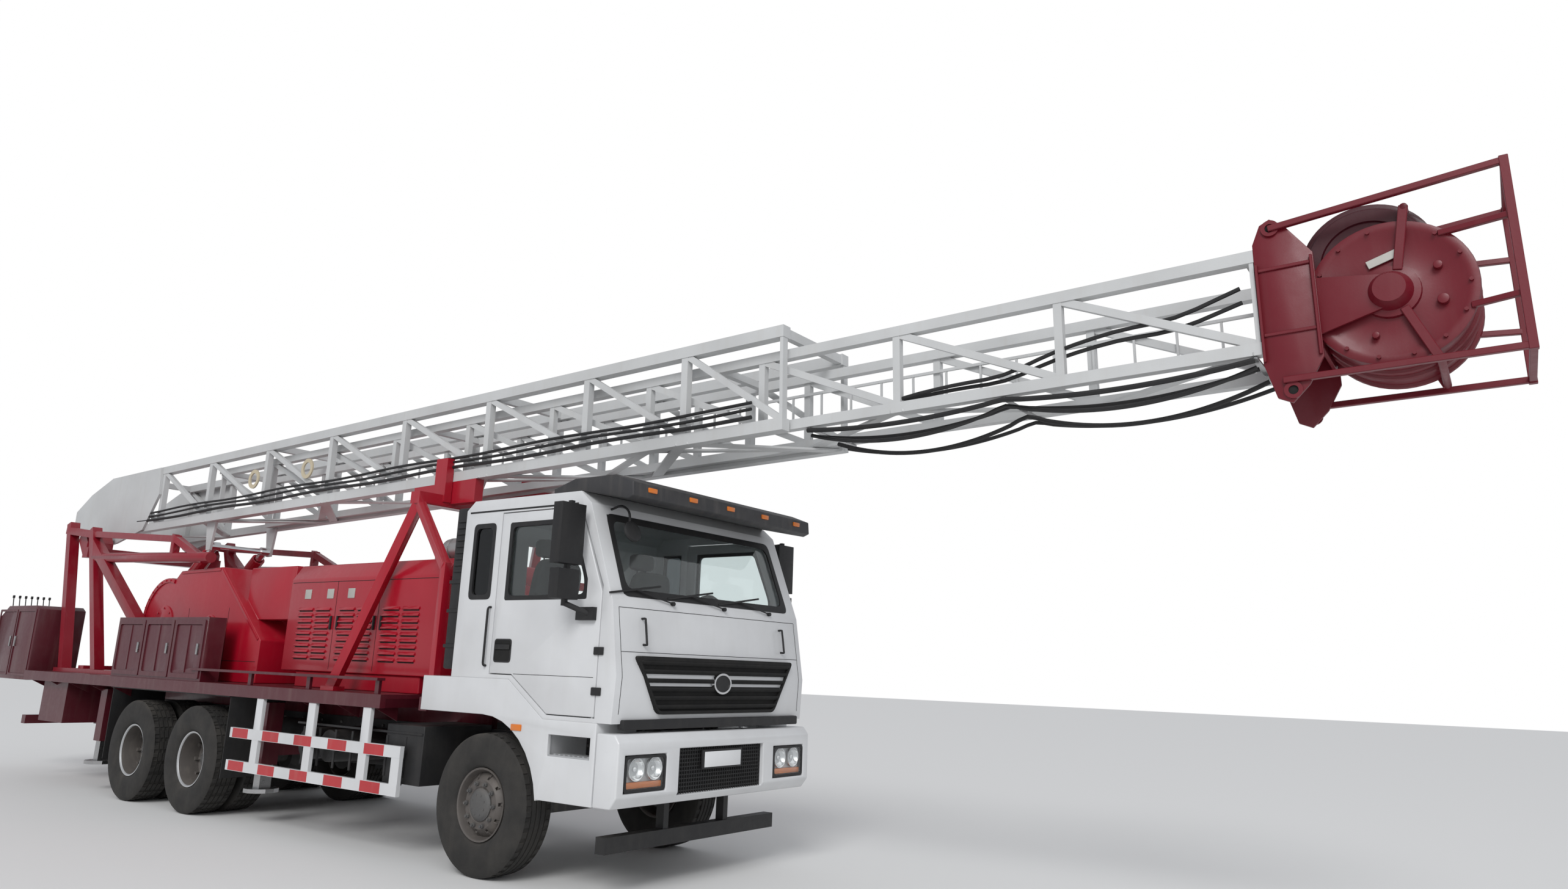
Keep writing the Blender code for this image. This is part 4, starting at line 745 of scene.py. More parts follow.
def buildLamps():
    front = bumperHigh.x
    for side, s in (("left", 1), ("right", -1)):
        inner, outer = lamps["inner"] + 0.004, lamps["outer"] - 0.004
        low, high = lamps["low"] + 0.004, lamps["high"] - 0.004
        bm = bmesh.new()
        loopFrame(bm, rounded([(s * inner, low), (s * outer, low), (s * outer, high),
                               (s * inner, high)], 0.03),
                  rounded([(s * (inner + 0.022), low + 0.02), (s * (outer - 0.022), low + 0.02),
                           (s * (outer - 0.022), high - 0.02),
                           (s * (inner + 0.022), high - 0.02)], 0.03),
                  front - 0.045, front - 0.004, "x")
        addBox(bm, front - 0.072, front - 0.062, s * inner, s * outer, low, high)
        piece(f"lampHousing_{side}", bm, "blackPlastic")
        bm = bmesh.new()
        for y, radius in ((0.82, 0.078), (1.02, 0.078)):   # bowls of the two beams
            bowl = [(0.0, 0.0), (0.001, radius * 0.3), (0.010, radius * 0.62),
                    (0.030, radius * 0.92), (0.044, radius), (0.046, radius * 1.08),
                    (0.030, radius * 1.08), (0.0, radius * 0.7), (0.0, 0.0)]
            addTurned(bm, bowl, (front - 0.062, s * y, 0.945), (1, 0, 0), 28)
            addRod(bm, (front - 0.06, s * y, 0.945), (front - 0.034, s * y, 0.945), 0.018, 14, 0.005)
        piece(f"lampBowls_{side}", bm, "chrome")
        bm = bmesh.new()
        addBox(bm, front - 0.055, front - 0.020, s * (inner + 0.03), s * (outer - 0.03),
               low + 0.024, low + 0.072, 0.008)
        piece(f"indicator_{side}", bm, "amberLamp")
        bm = bmesh.new()
        addPlate(bm, rounded([(s * (inner + 0.018), low + 0.016),
                              (s * (outer - 0.018), low + 0.016),
                              (s * (outer - 0.018), high - 0.016),
                              (s * (inner + 0.018), high - 0.016)], 0.03),
                 front - 0.012, front - 0.007, "x")
        piece(f"lampLens_{side}", bm, "lensGlass")
    # painted shade: a thin near-black sheet behind the intake mesh, standing for the shaded depth of
    # the intake
    bm = bmesh.new()
    addBox(bm, front - 0.0495, front - 0.047, -0.547, 0.547, 0.733, 1.077)
    piece("intakeShadeSheet", bm, "seamDarkAndPaintedShade")
    bm = bmesh.new()   # mesh in the bumper's intake
    for k in range(11):
        z = 0.755 + k * 0.03
        addBox(bm, front - 0.045, front - 0.036, -0.545, 0.545, z - 0.004, z + 0.004)
    for k in range(37):
        y = -0.54 + k * 0.03
        addBox(bm, front - 0.040, front - 0.034, y - 0.003, y + 0.003, 0.733, 1.077)
    piece("intakeMesh", bm, "blackPlastic")
    bm = bmesh.new()
    addBox(bm, front - 0.034, front - 0.010, -0.26, 0.26, 0.905, 1.055, 0.006)
    piece("plateHolder", bm, "blackPlastic")
    bm = bmesh.new()
    addBox(bm, front - 0.012, front - 0.005, -0.235, 0.235, 0.92, 1.04, 0.003)
    piece("blankPlate", bm, "plateWhite")
    print("front lamps made")


def windowLoop(inset, front=1.10, back=0.14):
    x0, x1 = axleX + back + inset, axleX + front - inset
    low, high = 2.20 + inset, 2.84 - inset
    return [(x0, low), (x1, low), (x1, 2.35), (x1 - 0.20, high), (x0, high)]


def buildCabSides():
    for side, s in (("left", 1), ("right", -1)):
        door = f"door_{side}"
        softPiece(door, "whitePaint", door, 0.007)
        outer = s * cabHalf
        bm = bmesh.new()   # black rubber round the door window
        loopFrame(bm, rounded(windowLoop(-0.012), 0.05), rounded(windowLoop(0.032), 0.05),
                  outer - s * 0.030, outer - s * 0.0005, "y")
        piece(f"doorRubber_{side}", bm, "blackPlastic", door)
        paintNode(f"door_glass_{side}", "clearGlass")
        bm = bmesh.new()   # handle recess with its grip
        x0, x1, z0, z1 = axleX + 0.07, axleX + 0.28, 1.69, 1.88
        frameLoop = rounded([(x0, z0), (x1, z0), (x1, z1), (x0, z1)], 0.03)
        holeLoop = rounded([(x0 + 0.012, z0 + 0.012), (x1 - 0.012, z0 + 0.012),
                            (x1 - 0.012, z1 - 0.012), (x0 + 0.012, z1 - 0.012)], 0.025)
        loopFrame(bm, frameLoop, holeLoop, outer - s * 0.002, outer + s * 0.004, "y")
        addBox(bm, x0 + 0.015, x1 - 0.015, outer + s * 0.003, outer + s * 0.013, 1.795, 1.835,
               0.004)
        piece(f"doorHandle_{side}", bm, "blackPlastic", door)
        # painted shade: a flat near-black plate standing for the shaded depth of the handle recess
        bm = bmesh.new()
        addPlate(bm, holeLoop, outer - s * 0.002, outer + s * 0.0015, "y")
        piece(f"handleRecessShade_{side}", bm, "seamDarkAndPaintedShade", door)
        bm = bmesh.new()   # lower panel line and sill strip on the door
        addBox(bm, axleX + 0.33, axleX + 1.24, outer - s * 0.004, outer + s * 0.001, 1.60,
               1.604)
        piece(f"doorSeam_{side}", bm, "seamDarkAndPaintedShade", door)
        bm = bmesh.new()   # quarter window behind the door
        loop = [(axleX - 0.335, 2.205), (axleX - 0.045, 2.205), (axleX - 0.045, 2.855),
                (axleX - 0.335, 2.855)]
        hole = [(axleX - 0.295, 2.245), (axleX - 0.085, 2.245), (axleX - 0.085, 2.815),
                (axleX - 0.295, 2.815)]
        loopFrame(bm, rounded(loop, 0.05), rounded(hole, 0.05), outer - s * 0.03,
                  outer + s * 0.003, "y")
        piece(f"quarterRubber_{side}", bm, "blackPlastic")
        bm = bmesh.new()
        addPlate(bm, rounded([(u - 0.004 if u < axleX - 0.2 else u + 0.004,
                               w - 0.004 if w < 2.5 else w + 0.004) for u, w in hole], 0.05),
                 outer - s * 0.020, outer - s * 0.014, "y")
        piece(f"quarterGlass_{side}", bm, "darkGlass")
        bm = bmesh.new()   # hinges at the door's front edge
        for z in (1.50, 1.80):
            addBox(bm, axleX + 1.235, axleX + 1.335, outer - s * 0.002, outer + s * 0.014,
                   z - 0.03, z + 0.03, 0.006)
        piece(f"doorHinges_{side}", bm, "blackPlastic")
        bm = bmesh.new()   # amber repeater on the mudguard
        addBox(bm, axleX + 0.37, axleX + 0.49, outer - s * 0.004, outer + s * 0.016, 1.165,
               1.215, 0.006)
        piece(f"repeater_{side}", bm, "amberLamp")
        bm = bmesh.new()   # step plates in the mudguard's recess
        for z in (1.000, 0.70):
            addBox(bm, axleX + 0.80, axleX + 1.25, outer - s * 0.20, outer - s * 0.004,
                   z, z + 0.012, 0.003)
            for k in range(8):
                x = axleX + 0.84 + k * 0.052
                addBox(bm, x, x + 0.022, outer - s * 0.17, outer - s * 0.03, z + 0.010,
                       z + 0.018, 0.002)
        piece(f"stepPlates_{side}", bm, "silverPaint")
        bm = bmesh.new()   # grab rail behind the door
        x = axleX - 0.02
        addHose(bm, [(x, outer - s * 0.01, 1.66), (x, outer + s * 0.028, 1.67),
                     (x, outer + s * 0.032, 1.75), (x, outer + s * 0.032, 2.05),
                     (x, outer + s * 0.028, 2.13), (x, outer - s * 0.01, 2.14)], 0.010, 8, 4)
        piece(f"grabRail_{side}", bm, "blackPlastic")
    print("cab sides made")


def buildMirrors():
    for side, s in (("left", 1), ("right", -1)):
        body = f"door_{side}"
        softPiece(f"mirror_{side}", "blackPlastic", body, 0.010, 2)
        low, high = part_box(f"mirror_{side}")
        bm = bmesh.new()
        for y0, y1, z0, z1 in ((1.335, 1.53, 2.48, 2.89), (1.35, 1.525, 2.20, 2.39)):
            addPlate(bm, rounded([(s * y0, z0), (s * y1, z0), (s * y1, z1), (s * y0, z1)],
                                 0.03), mirrorBack - 0.004, mirrorBack + 0.004, "x")
        piece(f"mirrorGlass_{side}", bm, "mirrorGlass", body)
    bm = bmesh.new()   # round mirror over the windscreen's corner
    spot = Vector((frontX(2.86) + 0.18, -1.02, 2.72))
    addHose(bm, [(frontX(2.93), -1.02, 2.93), (frontX(2.93) + 0.12, -1.02, 2.95),
                 (spot.x, -1.02, 2.88), spot], 0.010, 8, 5)
    dome = [(0.0, 0.0), (0.0, 0.086), (0.012, 0.094), (0.03, 0.088), (0.05, 0.06),
            (0.058, 0.0)]
    addTurned(bm, dome, spot, Vector((0.8, 0, 0.3)).normalized(), 28)
    piece("frontMirror", bm, "blackPlastic")
    print("mirrors made")


def buildCabBody():
    softPiece("cab_shell", "whitePaint", width=0.014, segments=3)
    softPiece("bumper", "whitePaint", width=0.018, segments=3)
    softPiece("sun_visor", "greyVisor", width=0.008)
    softPiece("dashboard", "blackPlastic", width=0.008)
    for side in ("left", "right"):
        softPiece(f"front_fender_{side}", "whitePaint", width=0.010)
    paintNode("windscreen", "clearGlass")
    bm = bmesh.new()   # clearance lamps on the visor
    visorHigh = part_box("sun_visor")[1]
    for y in (-1.0, -0.5, 0.0, 0.5, 1.0):
        addBox(bm, visorHigh.x - 0.05, visorHigh.x + 0.006, y - 0.05, y + 0.05, 3.035, 3.075,
               0.008)
    piece("visorLamps", bm, "amberLamp")
    bm = bmesh.new()   # black seal along the roof's side edge
    for s in (-1, 1):
        addBox(bm, cabLow.x + 0.05, axleX + 0.94, s * (cabHalf - 0.004), s * (cabHalf + 0.003),
               2.952, 2.966)
    piece("roofSeal", bm, "blackPlastic")
    bm = bmesh.new()   # air duct behind the cab
    addBox(bm, axleX - 0.64, axleX - 0.47, -1.20, -0.80, 1.62, 3.02, 0.02)
    for k in range(9):
        z = 2.45 + k * 0.055
        addBox(bm, axleX - 0.61, axleX - 0.49, -1.212, -1.19, z, z + 0.022, 0.004)
    for z in (1.80, 2.10, 2.35):
        addBox(bm, axleX - 0.65, axleX - 0.465, -1.21, -0.79, z, z + 0.03, 0.005)
    piece("airDuct", bm, "blackPlastic")
    bm = bmesh.new()   # roof hatch
    addBox(bm, axleX + 0.05, axleX + 0.62, -0.33, 0.33, 3.055, 3.10, 0.015)
    piece("roofHatch", bm, "whitePaint")
    print("cab body made")


seat = {"width": 0.50}


def cushion(name, low, high, crown, lean=0.0):
    low, high = Vector(low), Vector(high)
    bm = bmesh.new()
    bmesh.ops.create_cube(bm, size=2)
    bmesh.ops.subdivide_edges(bm, edges=bm.edges, cuts=9, use_grid_fill=True)
    half = (high - low) / 2
    for vertex in bm.verts:
        x, y, z = vertex.co
        power = 5
        length = (abs(x) ** power + abs(y) ** power + abs(z) ** power) ** (1 / power)
        x, y, z = x / length, y / length, z / length
        bulge = 1 + crown * (1 - x * x) * (1 - y * y)
        channel = 1 - 0.05 * abs(cos(3.5 * pi * y)) ** 12
        vertex.co = Vector((x * half.x, y * half.y, z * half.z * bulge * channel))
    if lean:
        bmesh.ops.rotate(bm, verts=bm.verts, cent=(0, 0, 0), matrix=Matrix.Rotation(lean, 3, "Y"))
    bmesh.ops.translate(bm, verts=bm.verts, vec=(low + high) / 2)
    made = piece(name, bm, "seatCloth", angle=60, replaces=("seats",))


def buildSeats():
    x = axleX + 0.12
    for side, y in (("left", 0.60), ("right", -0.60)):
        half = seat["width"] / 2
        cushion(f"seatBase_{side}", (x - 0.12, y - half, 1.86), (x + 0.36, y + half, 2.02), 0.12)
        cushion(f"seatBack_{side}", (x - 0.42, y - half, 2.20), (x + 0.24, y + half, 2.34), 0.12,
                radians(-80))
        cushion(f"headRest_{side}", (x - 0.24, y - 0.14, 2.62), (x - 0.13, y + 0.14, 2.78), 0.05)
        bm = bmesh.new()
        addBox(bm, x - 0.10, x + 0.32, y - 0.20, y + 0.20, 1.62, 1.86, 0.02)
        addRod(bm, (x - 0.185, y - 0.06, 2.50), (x - 0.185, y - 0.06, 2.66), 0.007, 8)
        addRod(bm, (x - 0.185, y + 0.06, 2.50), (x - 0.185, y + 0.06, 2.66), 0.007, 8)
        piece(f"seatStand_{side}", bm, "blackPlastic", replaces=("seats",))
    cushion("bunk", (cabLow.x + 0.08, -1.08, 1.80), (cabLow.x + 0.42, 1.08, 2.00), 0.05)
    bm = bmesh.new()
    addBox(bm, cabLow.x + 0.08, cabLow.x + 0.42, -1.08, 1.08, 1.62, 1.80, 0.01)
    piece("bunkBase", bm, "blackPlastic", replaces=("seats",))
    print("seats made")


mirrorBack = axleX + 1.06 - 0.06


# ---- machinery on the deck ----
louvre = {"rows": 9, "pitch": 0.062, "long": 0.27, "proud": 0.018}


def buildEngineCover():
    softPiece("engine_cover", "redPaint", width=0.016, segments=3)
    paintNode("deck_engine", "castGrey")
    x0, x1 = coverLow.x, coverHigh.x
    for side, s in (("left", 1), ("right", -1)):
        face = s * coverHigh.y
        bm = bmesh.new()
        spots = [x0 + 0.22, x0 + 0.54, x0 + 0.98, x0 + 1.30, x0 + 1.74, x0 + 2.06]
        for x in spots:
            for row in range(louvre["rows"]):
                z = 1.66 + row * louvre["pitch"]
                out = face + s * louvre["proud"]
                outline = [(face - s * 0.006, z), (out, z + 0.004), (out, z + 0.012),
                           (face - s * 0.006, z + 0.042)]
                addPlate(bm, outline, x, x + louvre["long"], "x", 0.003)
        piece(f"louvres_{side}", bm, "redPaint")
        # painted shade: flat near-black strips under each louvre blade, standing for the shaded
        # openings behind them
        bm = bmesh.new()
        for x in spots:
            for row in range(louvre["rows"]):
                z = 1.66 + row * louvre["pitch"]
                addBox(bm, x + 0.01, x + louvre["long"] - 0.01, face - s * 0.002,
                       face + s * 0.002, z - 0.010, z)
        piece(f"louvreShadeStrips_{side}", bm, "seamDarkAndPaintedShade")
        bm = bmesh.new()   # door seams
        for x in (x0 + 0.90, x0 + 1.66):
            addBox(bm, x - 0.003, x + 0.003, face - s * 0.003, face + s * 0.001, 1.56, 2.46)
        addBox(bm, x0 + 0.03, x1 - 0.03, face - s * 0.003, face + s * 0.001, 2.452, 2.458)
        piece(f"coverSeams_{side}", bm, "seamDarkAndPaintedShade")
        bm = bmesh.new()   # small square plates and door grips
        for x in (x0 + 0.30, x0 + 0.72, x0 + 1.10, x0 + 1.50):
            addBox(bm, x, x + 0.12, face - s * 0.002, face + s * 0.006, 2.28, 2.38, 0.003)
        piece(f"coverPlates_{side}", bm, "palePlate")
        bm = bmesh.new()
        for x in (x0 + 0.84, x0 + 0.96, x0 + 1.60, x0 + 1.72):
            addBox(bm, x, x + 0.022, face - s * 0.002, face + s * 0.020, 1.96, 2.10, 0.005)
        piece(f"coverGrips_{side}", bm, "blackPlastic")
    bm = bmesh.new()   # silencer and its pipes
    y, z = -0.34, 2.80
    can = [(0.0, 0.0), (0.0, 0.085), (0.012, 0.098), (0.03, 0.105), (0.62, 0.105),
           (0.638, 0.098), (0.65, 0.085), (0.65, 0.0)]
    addTurned(bm, can, (axleX - 1.88, y, z), (1, 0, 0), 36)
    for x in (axleX - 1.80, axleX - 1.32):
        ring = [(0, 0.100), (0, 0.112), (0.03, 0.112), (0.03, 0.100), (0, 0.100)]
        addTurned(bm, ring, (x, y, z), (1, 0, 0), 36)
        addBox(bm, x + 0.002, x + 0.028, y - 0.09, y + 0.09, 2.645, 2.74, 0.003)
    addHose(bm, [(axleX - 1.25, y, z), (axleX - 1.17, y, z), (axleX - 1.08, y, z + 0.03),
                 (axleX - 1.06, y, z + 0.12), (axleX - 1.06, y, z + 0.20)], 0.045, 14, 5)
    addHose(bm, [(axleX - 1.86, y, z), (axleX - 1.95, y, z - 0.01),
                 (axleX - 2.02, y, z - 0.06), (axleX - 2.03, y, 2.60)], 0.045, 14, 5)
    piece("silencer", bm, "tankMetal")
    bm = bmesh.new()   # roof flap of the cover
    addBox(bm, x0 + 0.25, x0 + 1.15, -0.55, 0.55, 2.646, 2.672, 0.008)
    for k in range(10):
        x = x0 + 0.33 + k * 0.08
        addBox(bm, x, x + 0.04, -0.45, 0.45, 2.668, 2.684, 0.005)
    piece("coverRoof", bm, "redPaint")
    print("engine cover made")


def buildWinchCover():
    softPiece("winch_cover", "redPaint", width=0.012, segments=3)
    centre, radius = (axleX - 6.72, 2.00), 0.58
    for side, s in (("left", 1), ("right", -1)):
        face = s * winchHigh.y
        bm = bmesh.new()   # rolled edge round the drum and a row of bolts
        outer = [(centre[0] + (radius - 0.004) * cos(radians(turn)),
                  centre[1] + (radius - 0.004) * sin(radians(turn)))
                 for turn in range(195, 74, -5)]
        inner = [(centre[0] + (radius - 0.055) * cos(radians(turn)),
                  centre[1] + (radius - 0.055) * sin(radians(turn)))
                 for turn in range(75, 196, 5)]
        addPlate(bm, outer + inner, face - s * 0.002, face + s * 0.012, "y", 0.002)
        for turn in range(85, 195, 12):
            spot = Vector((centre[0] + (radius - 0.03) * cos(radians(turn)), face + s * 0.010,
                           centre[1] + (radius - 0.03) * sin(radians(turn))))
            addRod(bm, spot, spot + Vector((0, s * 0.012, 0)), 0.011, 6)
        addBar(bm, (axleX - 5.45, face + s * 0.002, 2.65), (axleX - 4.42, face + s * 0.002, 1.845),
               0.016, 0.03, 0.003)
        addBar(bm, (axleX - 6.42, face + s * 0.002, 2.635), (axleX - 5.47, face + s * 0.002, 2.65),
               0.016, 0.03, 0.003)
        piece(f"winchEdge_{side}", bm, "redPaint")
        bm = bmesh.new()   # round service lids with a hub
        for x, z, size in ((axleX - 6.72, 2.00, 0.24), (axleX - 5.55, 1.95, 0.17)):
            lid = [(-0.004, 0.0), (-0.004, size), (0.010, size), (0.014, size - 0.01),
                   (0.014, size * 0.6), (0.022, size * 0.55), (0.022, size * 0.3),
                   (0.040, size * 0.26), (0.044, size * 0.2), (0.044, 0.0)]
            addTurned(bm, lid, (x, face, z), (0, s, 0), 40)
            for k in range(8):
                turn = 2 * pi * k / 8
                spot = Vector((x + cos(turn) * size * 0.86, face + s * 0.010,
                               z + sin(turn) * size * 0.86))
                addRod(bm, spot, spot + Vector((0, s * 0.014, 0)), 0.012, 6)
        piece(f"winchLids_{side}", bm, "redPaint")
        bm = bmesh.new()
        for x in (axleX - 6.10, axleX - 5.15):
            addBox(bm, x - 0.003, x + 0.003, face - s * 0.003, face + s * 0.001, 1.39, 2.2)
        addBox(bm, axleX - 6.10, axleX - 4.42, face - s * 0.003, face + s * 0.001, 1.60, 1.606)
        piece(f"winchSeams_{side}", bm, "seamDarkAndPaintedShade")
    print("winch cover made")


def buildDeck():
    softPiece("deck", "maroonPaint", width=0.005, segments=1)
    for side, s in (("left", 1), ("right", -1)):
        face = s * 1.22
        bm = bmesh.new()   # locker doors with frames
        for x0, x1 in ((-6.97, -6.28), (-6.25, -5.56), (-5.53, -4.84)):
            a, b = axleX + x0, axleX + x1
            loop = [(a, 1.40), (b, 1.40), (b, 2.04), (a, 2.04)]
            hole = [(a + 0.05, 1.45), (b - 0.05, 1.45), (b - 0.05, 1.99), (a + 0.05, 1.99)]
            loopFrame(bm, rounded(loop, 0.02), rounded(hole, 0.03), face - s * 0.002,
                      face + s * 0.012, "y")
            addBox(bm, (a + b) / 2 - 0.012, (a + b) / 2 + 0.012, face - s * 0.002,
                   face + s * 0.008, 1.46, 1.98, 0.003)
        piece(f"lockerFrames_{side}", bm, "maroonPaint")
        bm = bmesh.new()
        for x0, x1 in ((-6.97, -6.28), (-6.25, -5.56), (-5.53, -4.84)):
            x = axleX + x1 - 0.10
            addBox(bm, x - 0.018, x + 0.018, face - s * 0.002, face + s * 0.022, 1.66, 1.78,
                   0.006)
        piece(f"lockerLatches_{side}", bm, "bareSteel")
        for colour, first in (("stripRed", 0), ("stripWhite", 1)):   # reflective strips
            bm = bmesh.new()
            for k in range(49):
                x = axleX - 9.45 + k * 0.164 + first * 0.066
                addBox(bm, x, x + (0.094 if first else 0.062), s * 1.2485, s * 1.2498, 1.290,
                       1.335)
            piece(f"{colour}_{side}", bm, colour)
        bm = bmesh.new()   # folded stiffeners under the deck edge
        for k in range(14):
            x = axleX - 9.30 + k * 0.60
            if abs(x - middleX) > 1.9:
                addPlate(bm, [(s * 1.235, 1.249), (s * 1.00, 1.249), (s * 1.00, 1.13)], x,
                         x + 0.012, "x")
        piece(f"deckGussets_{side}", bm, "maroonPaint")
    print("deck made")


def buildGuards():
    for side, s in (("left", 1), ("right", -1)):
        softPiece(f"side_guard_{side}", "whitePaint", width=0.004, segments=1)
        bm = bmesh.new()   # red blocks on the two rails
        face = s * 1.245
        for z0, z1 in ((0.845, 0.945), (0.525, 0.625)):
            for k in range(5):
                x = axleX - 3.90 + k * 0.58
                addBox(bm, x, x + 0.30, face - s * 0.003, face + s * 0.0008, z0 + 0.004,
                       z1 - 0.004)
        piece(f"guardBlocks_{side}", bm, "stripRed")
        softPiece(f"rear_mudguard_{side}", "framePaint", width=0.004, segments=1)
    print("side guards made")


def buildTanks():
    softPiece("fuel_tank", "tankMetal", width=0.035, segments=4)
    softPiece("battery_box", "framePaint", width=0.012)
    low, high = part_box("fuel_tank")
    bm = bmesh.new()   # straps and cap
    for x in (low.x + 0.18, high.x - 0.22):
        loop = [(low.y + 0.006, low.z + 0.006), (high.y - 0.006, low.z + 0.006),
                (high.y - 0.006, high.z - 0.006), (low.y + 0.006, high.z - 0.006)]
        out = [(low.y - 0.006, low.z - 0.006), (high.y + 0.006, low.z - 0.006),
               (high.y + 0.006, high.z + 0.006), (low.y - 0.006, high.z + 0.006)]
        loopFrame(bm, rounded(out, 0.05), rounded(loop, 0.045), x, x + 0.05, "x")
    piece("tankStraps", bm, "blackPlastic")
    bm = bmesh.new()
    cap = [(0, 0), (0, 0.055), (0.03, 0.055), (0.036, 0.048), (0.036, 0)]
    addTurned(bm, cap, (low.x + 0.52, high.y - 0.14, high.z - 0.004), (0, 0, 1), 24)
    piece("tankCap", bm, "blackPlastic")
    low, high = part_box("battery_box")
    bm = bmesh.new()   # ribs and latches on the box
    for k in range(7):
        x = low.x + 0.12 + k * 0.27
        addBox(bm, x, x + 0.03, low.y - 0.006, low.y + 0.006, low.z + 0.05, high.z - 0.10, 0.004)
    addBox(bm, low.x + 0.01, high.x - 0.01, low.y - 0.008, low.y + 0.006, high.z - 0.08,
           high.z - 0.06, 0.004)
    piece("batteryRibs", bm, "framePaint")
    bm = bmesh.new()   # air tanks between the axles and the deck, seen from the side
    for x in (axleX - 4.05, ):
        can = [(0, 0), (0.004, 0.07), (0.03, 0.105), (0.60, 0.105), (0.626, 0.07), (0.63, 0)]
        addTurned(bm, can, (x, -0.62, 0.93), (1, 0, 0), 28)
    piece("airTank", bm, "framePaint")
    print("tanks made")


def buildUnderside():
    for node, finish in (("chassis_frame", "framePaint"), ("front_axle", "castGrey"),
                         ("middle_axle", "castGrey"), ("rear_axle", "castGrey"),
                         ("rear_suspension", "castGrey"), ("truck_engine", "castGrey"),
                         ("drive_shaft", "framePaint"), ("front_knuckle_left", "castGrey"),
                         ("front_knuckle_right", "castGrey"),
                         ("front_jack_beam", "maroonPaint"), ("rear_jack_beam", "maroonPaint"),
                         ("front_jack_leg_left", "bareSteel"),
                         ("front_jack_leg_right", "bareSteel"),
                         ("rear_jack_leg_left", "bareSteel"),
                         ("rear_jack_leg_right", "bareSteel")):
        paintNode(node, finish)
    bm = bmesh.new()   # bolts along the chassis rails
    for s in (-1, 1):
        for k in range(28):
            x = axleX - 9.2 + k * 0.37
            for z in (0.86, 1.02):
                addRod(bm, (x, s * 0.418, z), (x, s * 0.434, z), 0.013, 6)
    piece("railBolts", bm, "castGrey")
    bm = bmesh.new()   # brake hoses down to the axles
    for s in (-1, 1):
        for x in (axleX, middleX, rearX):
            addHose(bm, [(x + 0.10, s * 0.40, 0.88), (x + 0.12, s * 0.50, 0.80),
                         (x + 0.10, s * 0.58, 0.70), (x + 0.06, s * 0.60, 0.62)], 0.009, 6, 5)
    piece("brakeHoses", bm, "blackPlastic")
    print("underside made")


# ---- rear frame, mast and crown ----
def buildRear():
    softPiece("rear_frame", "crimsonFrame", width=0.004, segments=1)
    softPiece("front_mast_support", "redPaint", width=0.004, segments=1)
    softPiece("control_cabinet", "maroonPaint", width=0.010)
    low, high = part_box("control_cabinet")
    bm = bmesh.new()   # cabinet doors
    for a, b in ((low.x + 0.04, low.x + 0.67), (low.x + 0.70, high.x - 0.04)):
        loop = [(a, low.z + 0.05), (b, low.z + 0.05), (b, high.z - 0.05), (a, high.z - 0.05)]
        hole = [(a + 0.03, low.z + 0.08), (b - 0.03, low.z + 0.08), (b - 0.03, high.z - 0.08),
                (a + 0.03, high.z - 0.08)]
        loopFrame(bm, rounded(loop, 0.02), rounded(hole, 0.02), low.y + 0.002, low.y - 0.010, "y")
    piece("cabinetDoors", bm, "maroonPaint")
    bm = bmesh.new()
    for x in (low.x + 0.60, low.x + 0.77):
        addBox(bm, x - 0.012, x + 0.012, low.y - 0.024, low.y + 0.002, 1.68, 1.82, 0.005)
    piece("cabinetGrips", bm, "bareSteel")
    bm = bmesh.new()   # control levers at the rear of the cabinet
    for k in range(7):
        y = -1.14 + k * 0.075
        addRod(bm, (low.x + 0.06 + 0.12, y, high.z - 0.004), (low.x + 0.15, y, high.z + 0.13), 0.007, 8)
        addRod(bm, (low.x + 0.15, y, high.z + 0.12), (low.x + 0.146, y, high.z + 0.16), 0.016, 12,
               0.006)
    piece("levers", bm, "blackPlastic")
    bm = bmesh.new()   # tail lamps on the rear bar
    for s in (-1, 1):
        for k, y in enumerate((0.70, 0.82, 0.94)):
            addBox(bm, axleX - 9.508, axleX - 9.495, s * y - 0.05, s * y + 0.05, 0.695, 0.775,
                   0.004)
    piece("tailLamps", bm, "redLamp")
    print("rear made")


hose = {"spacing": 1.65}
crown = {"start": 15.3003, "plate": 0.37, "sheave": (16.00, 0.36), "radius": 0.44,
         "hood": (15.90, 0.60), "hoodRadius": 0.36, "end": 16.62}


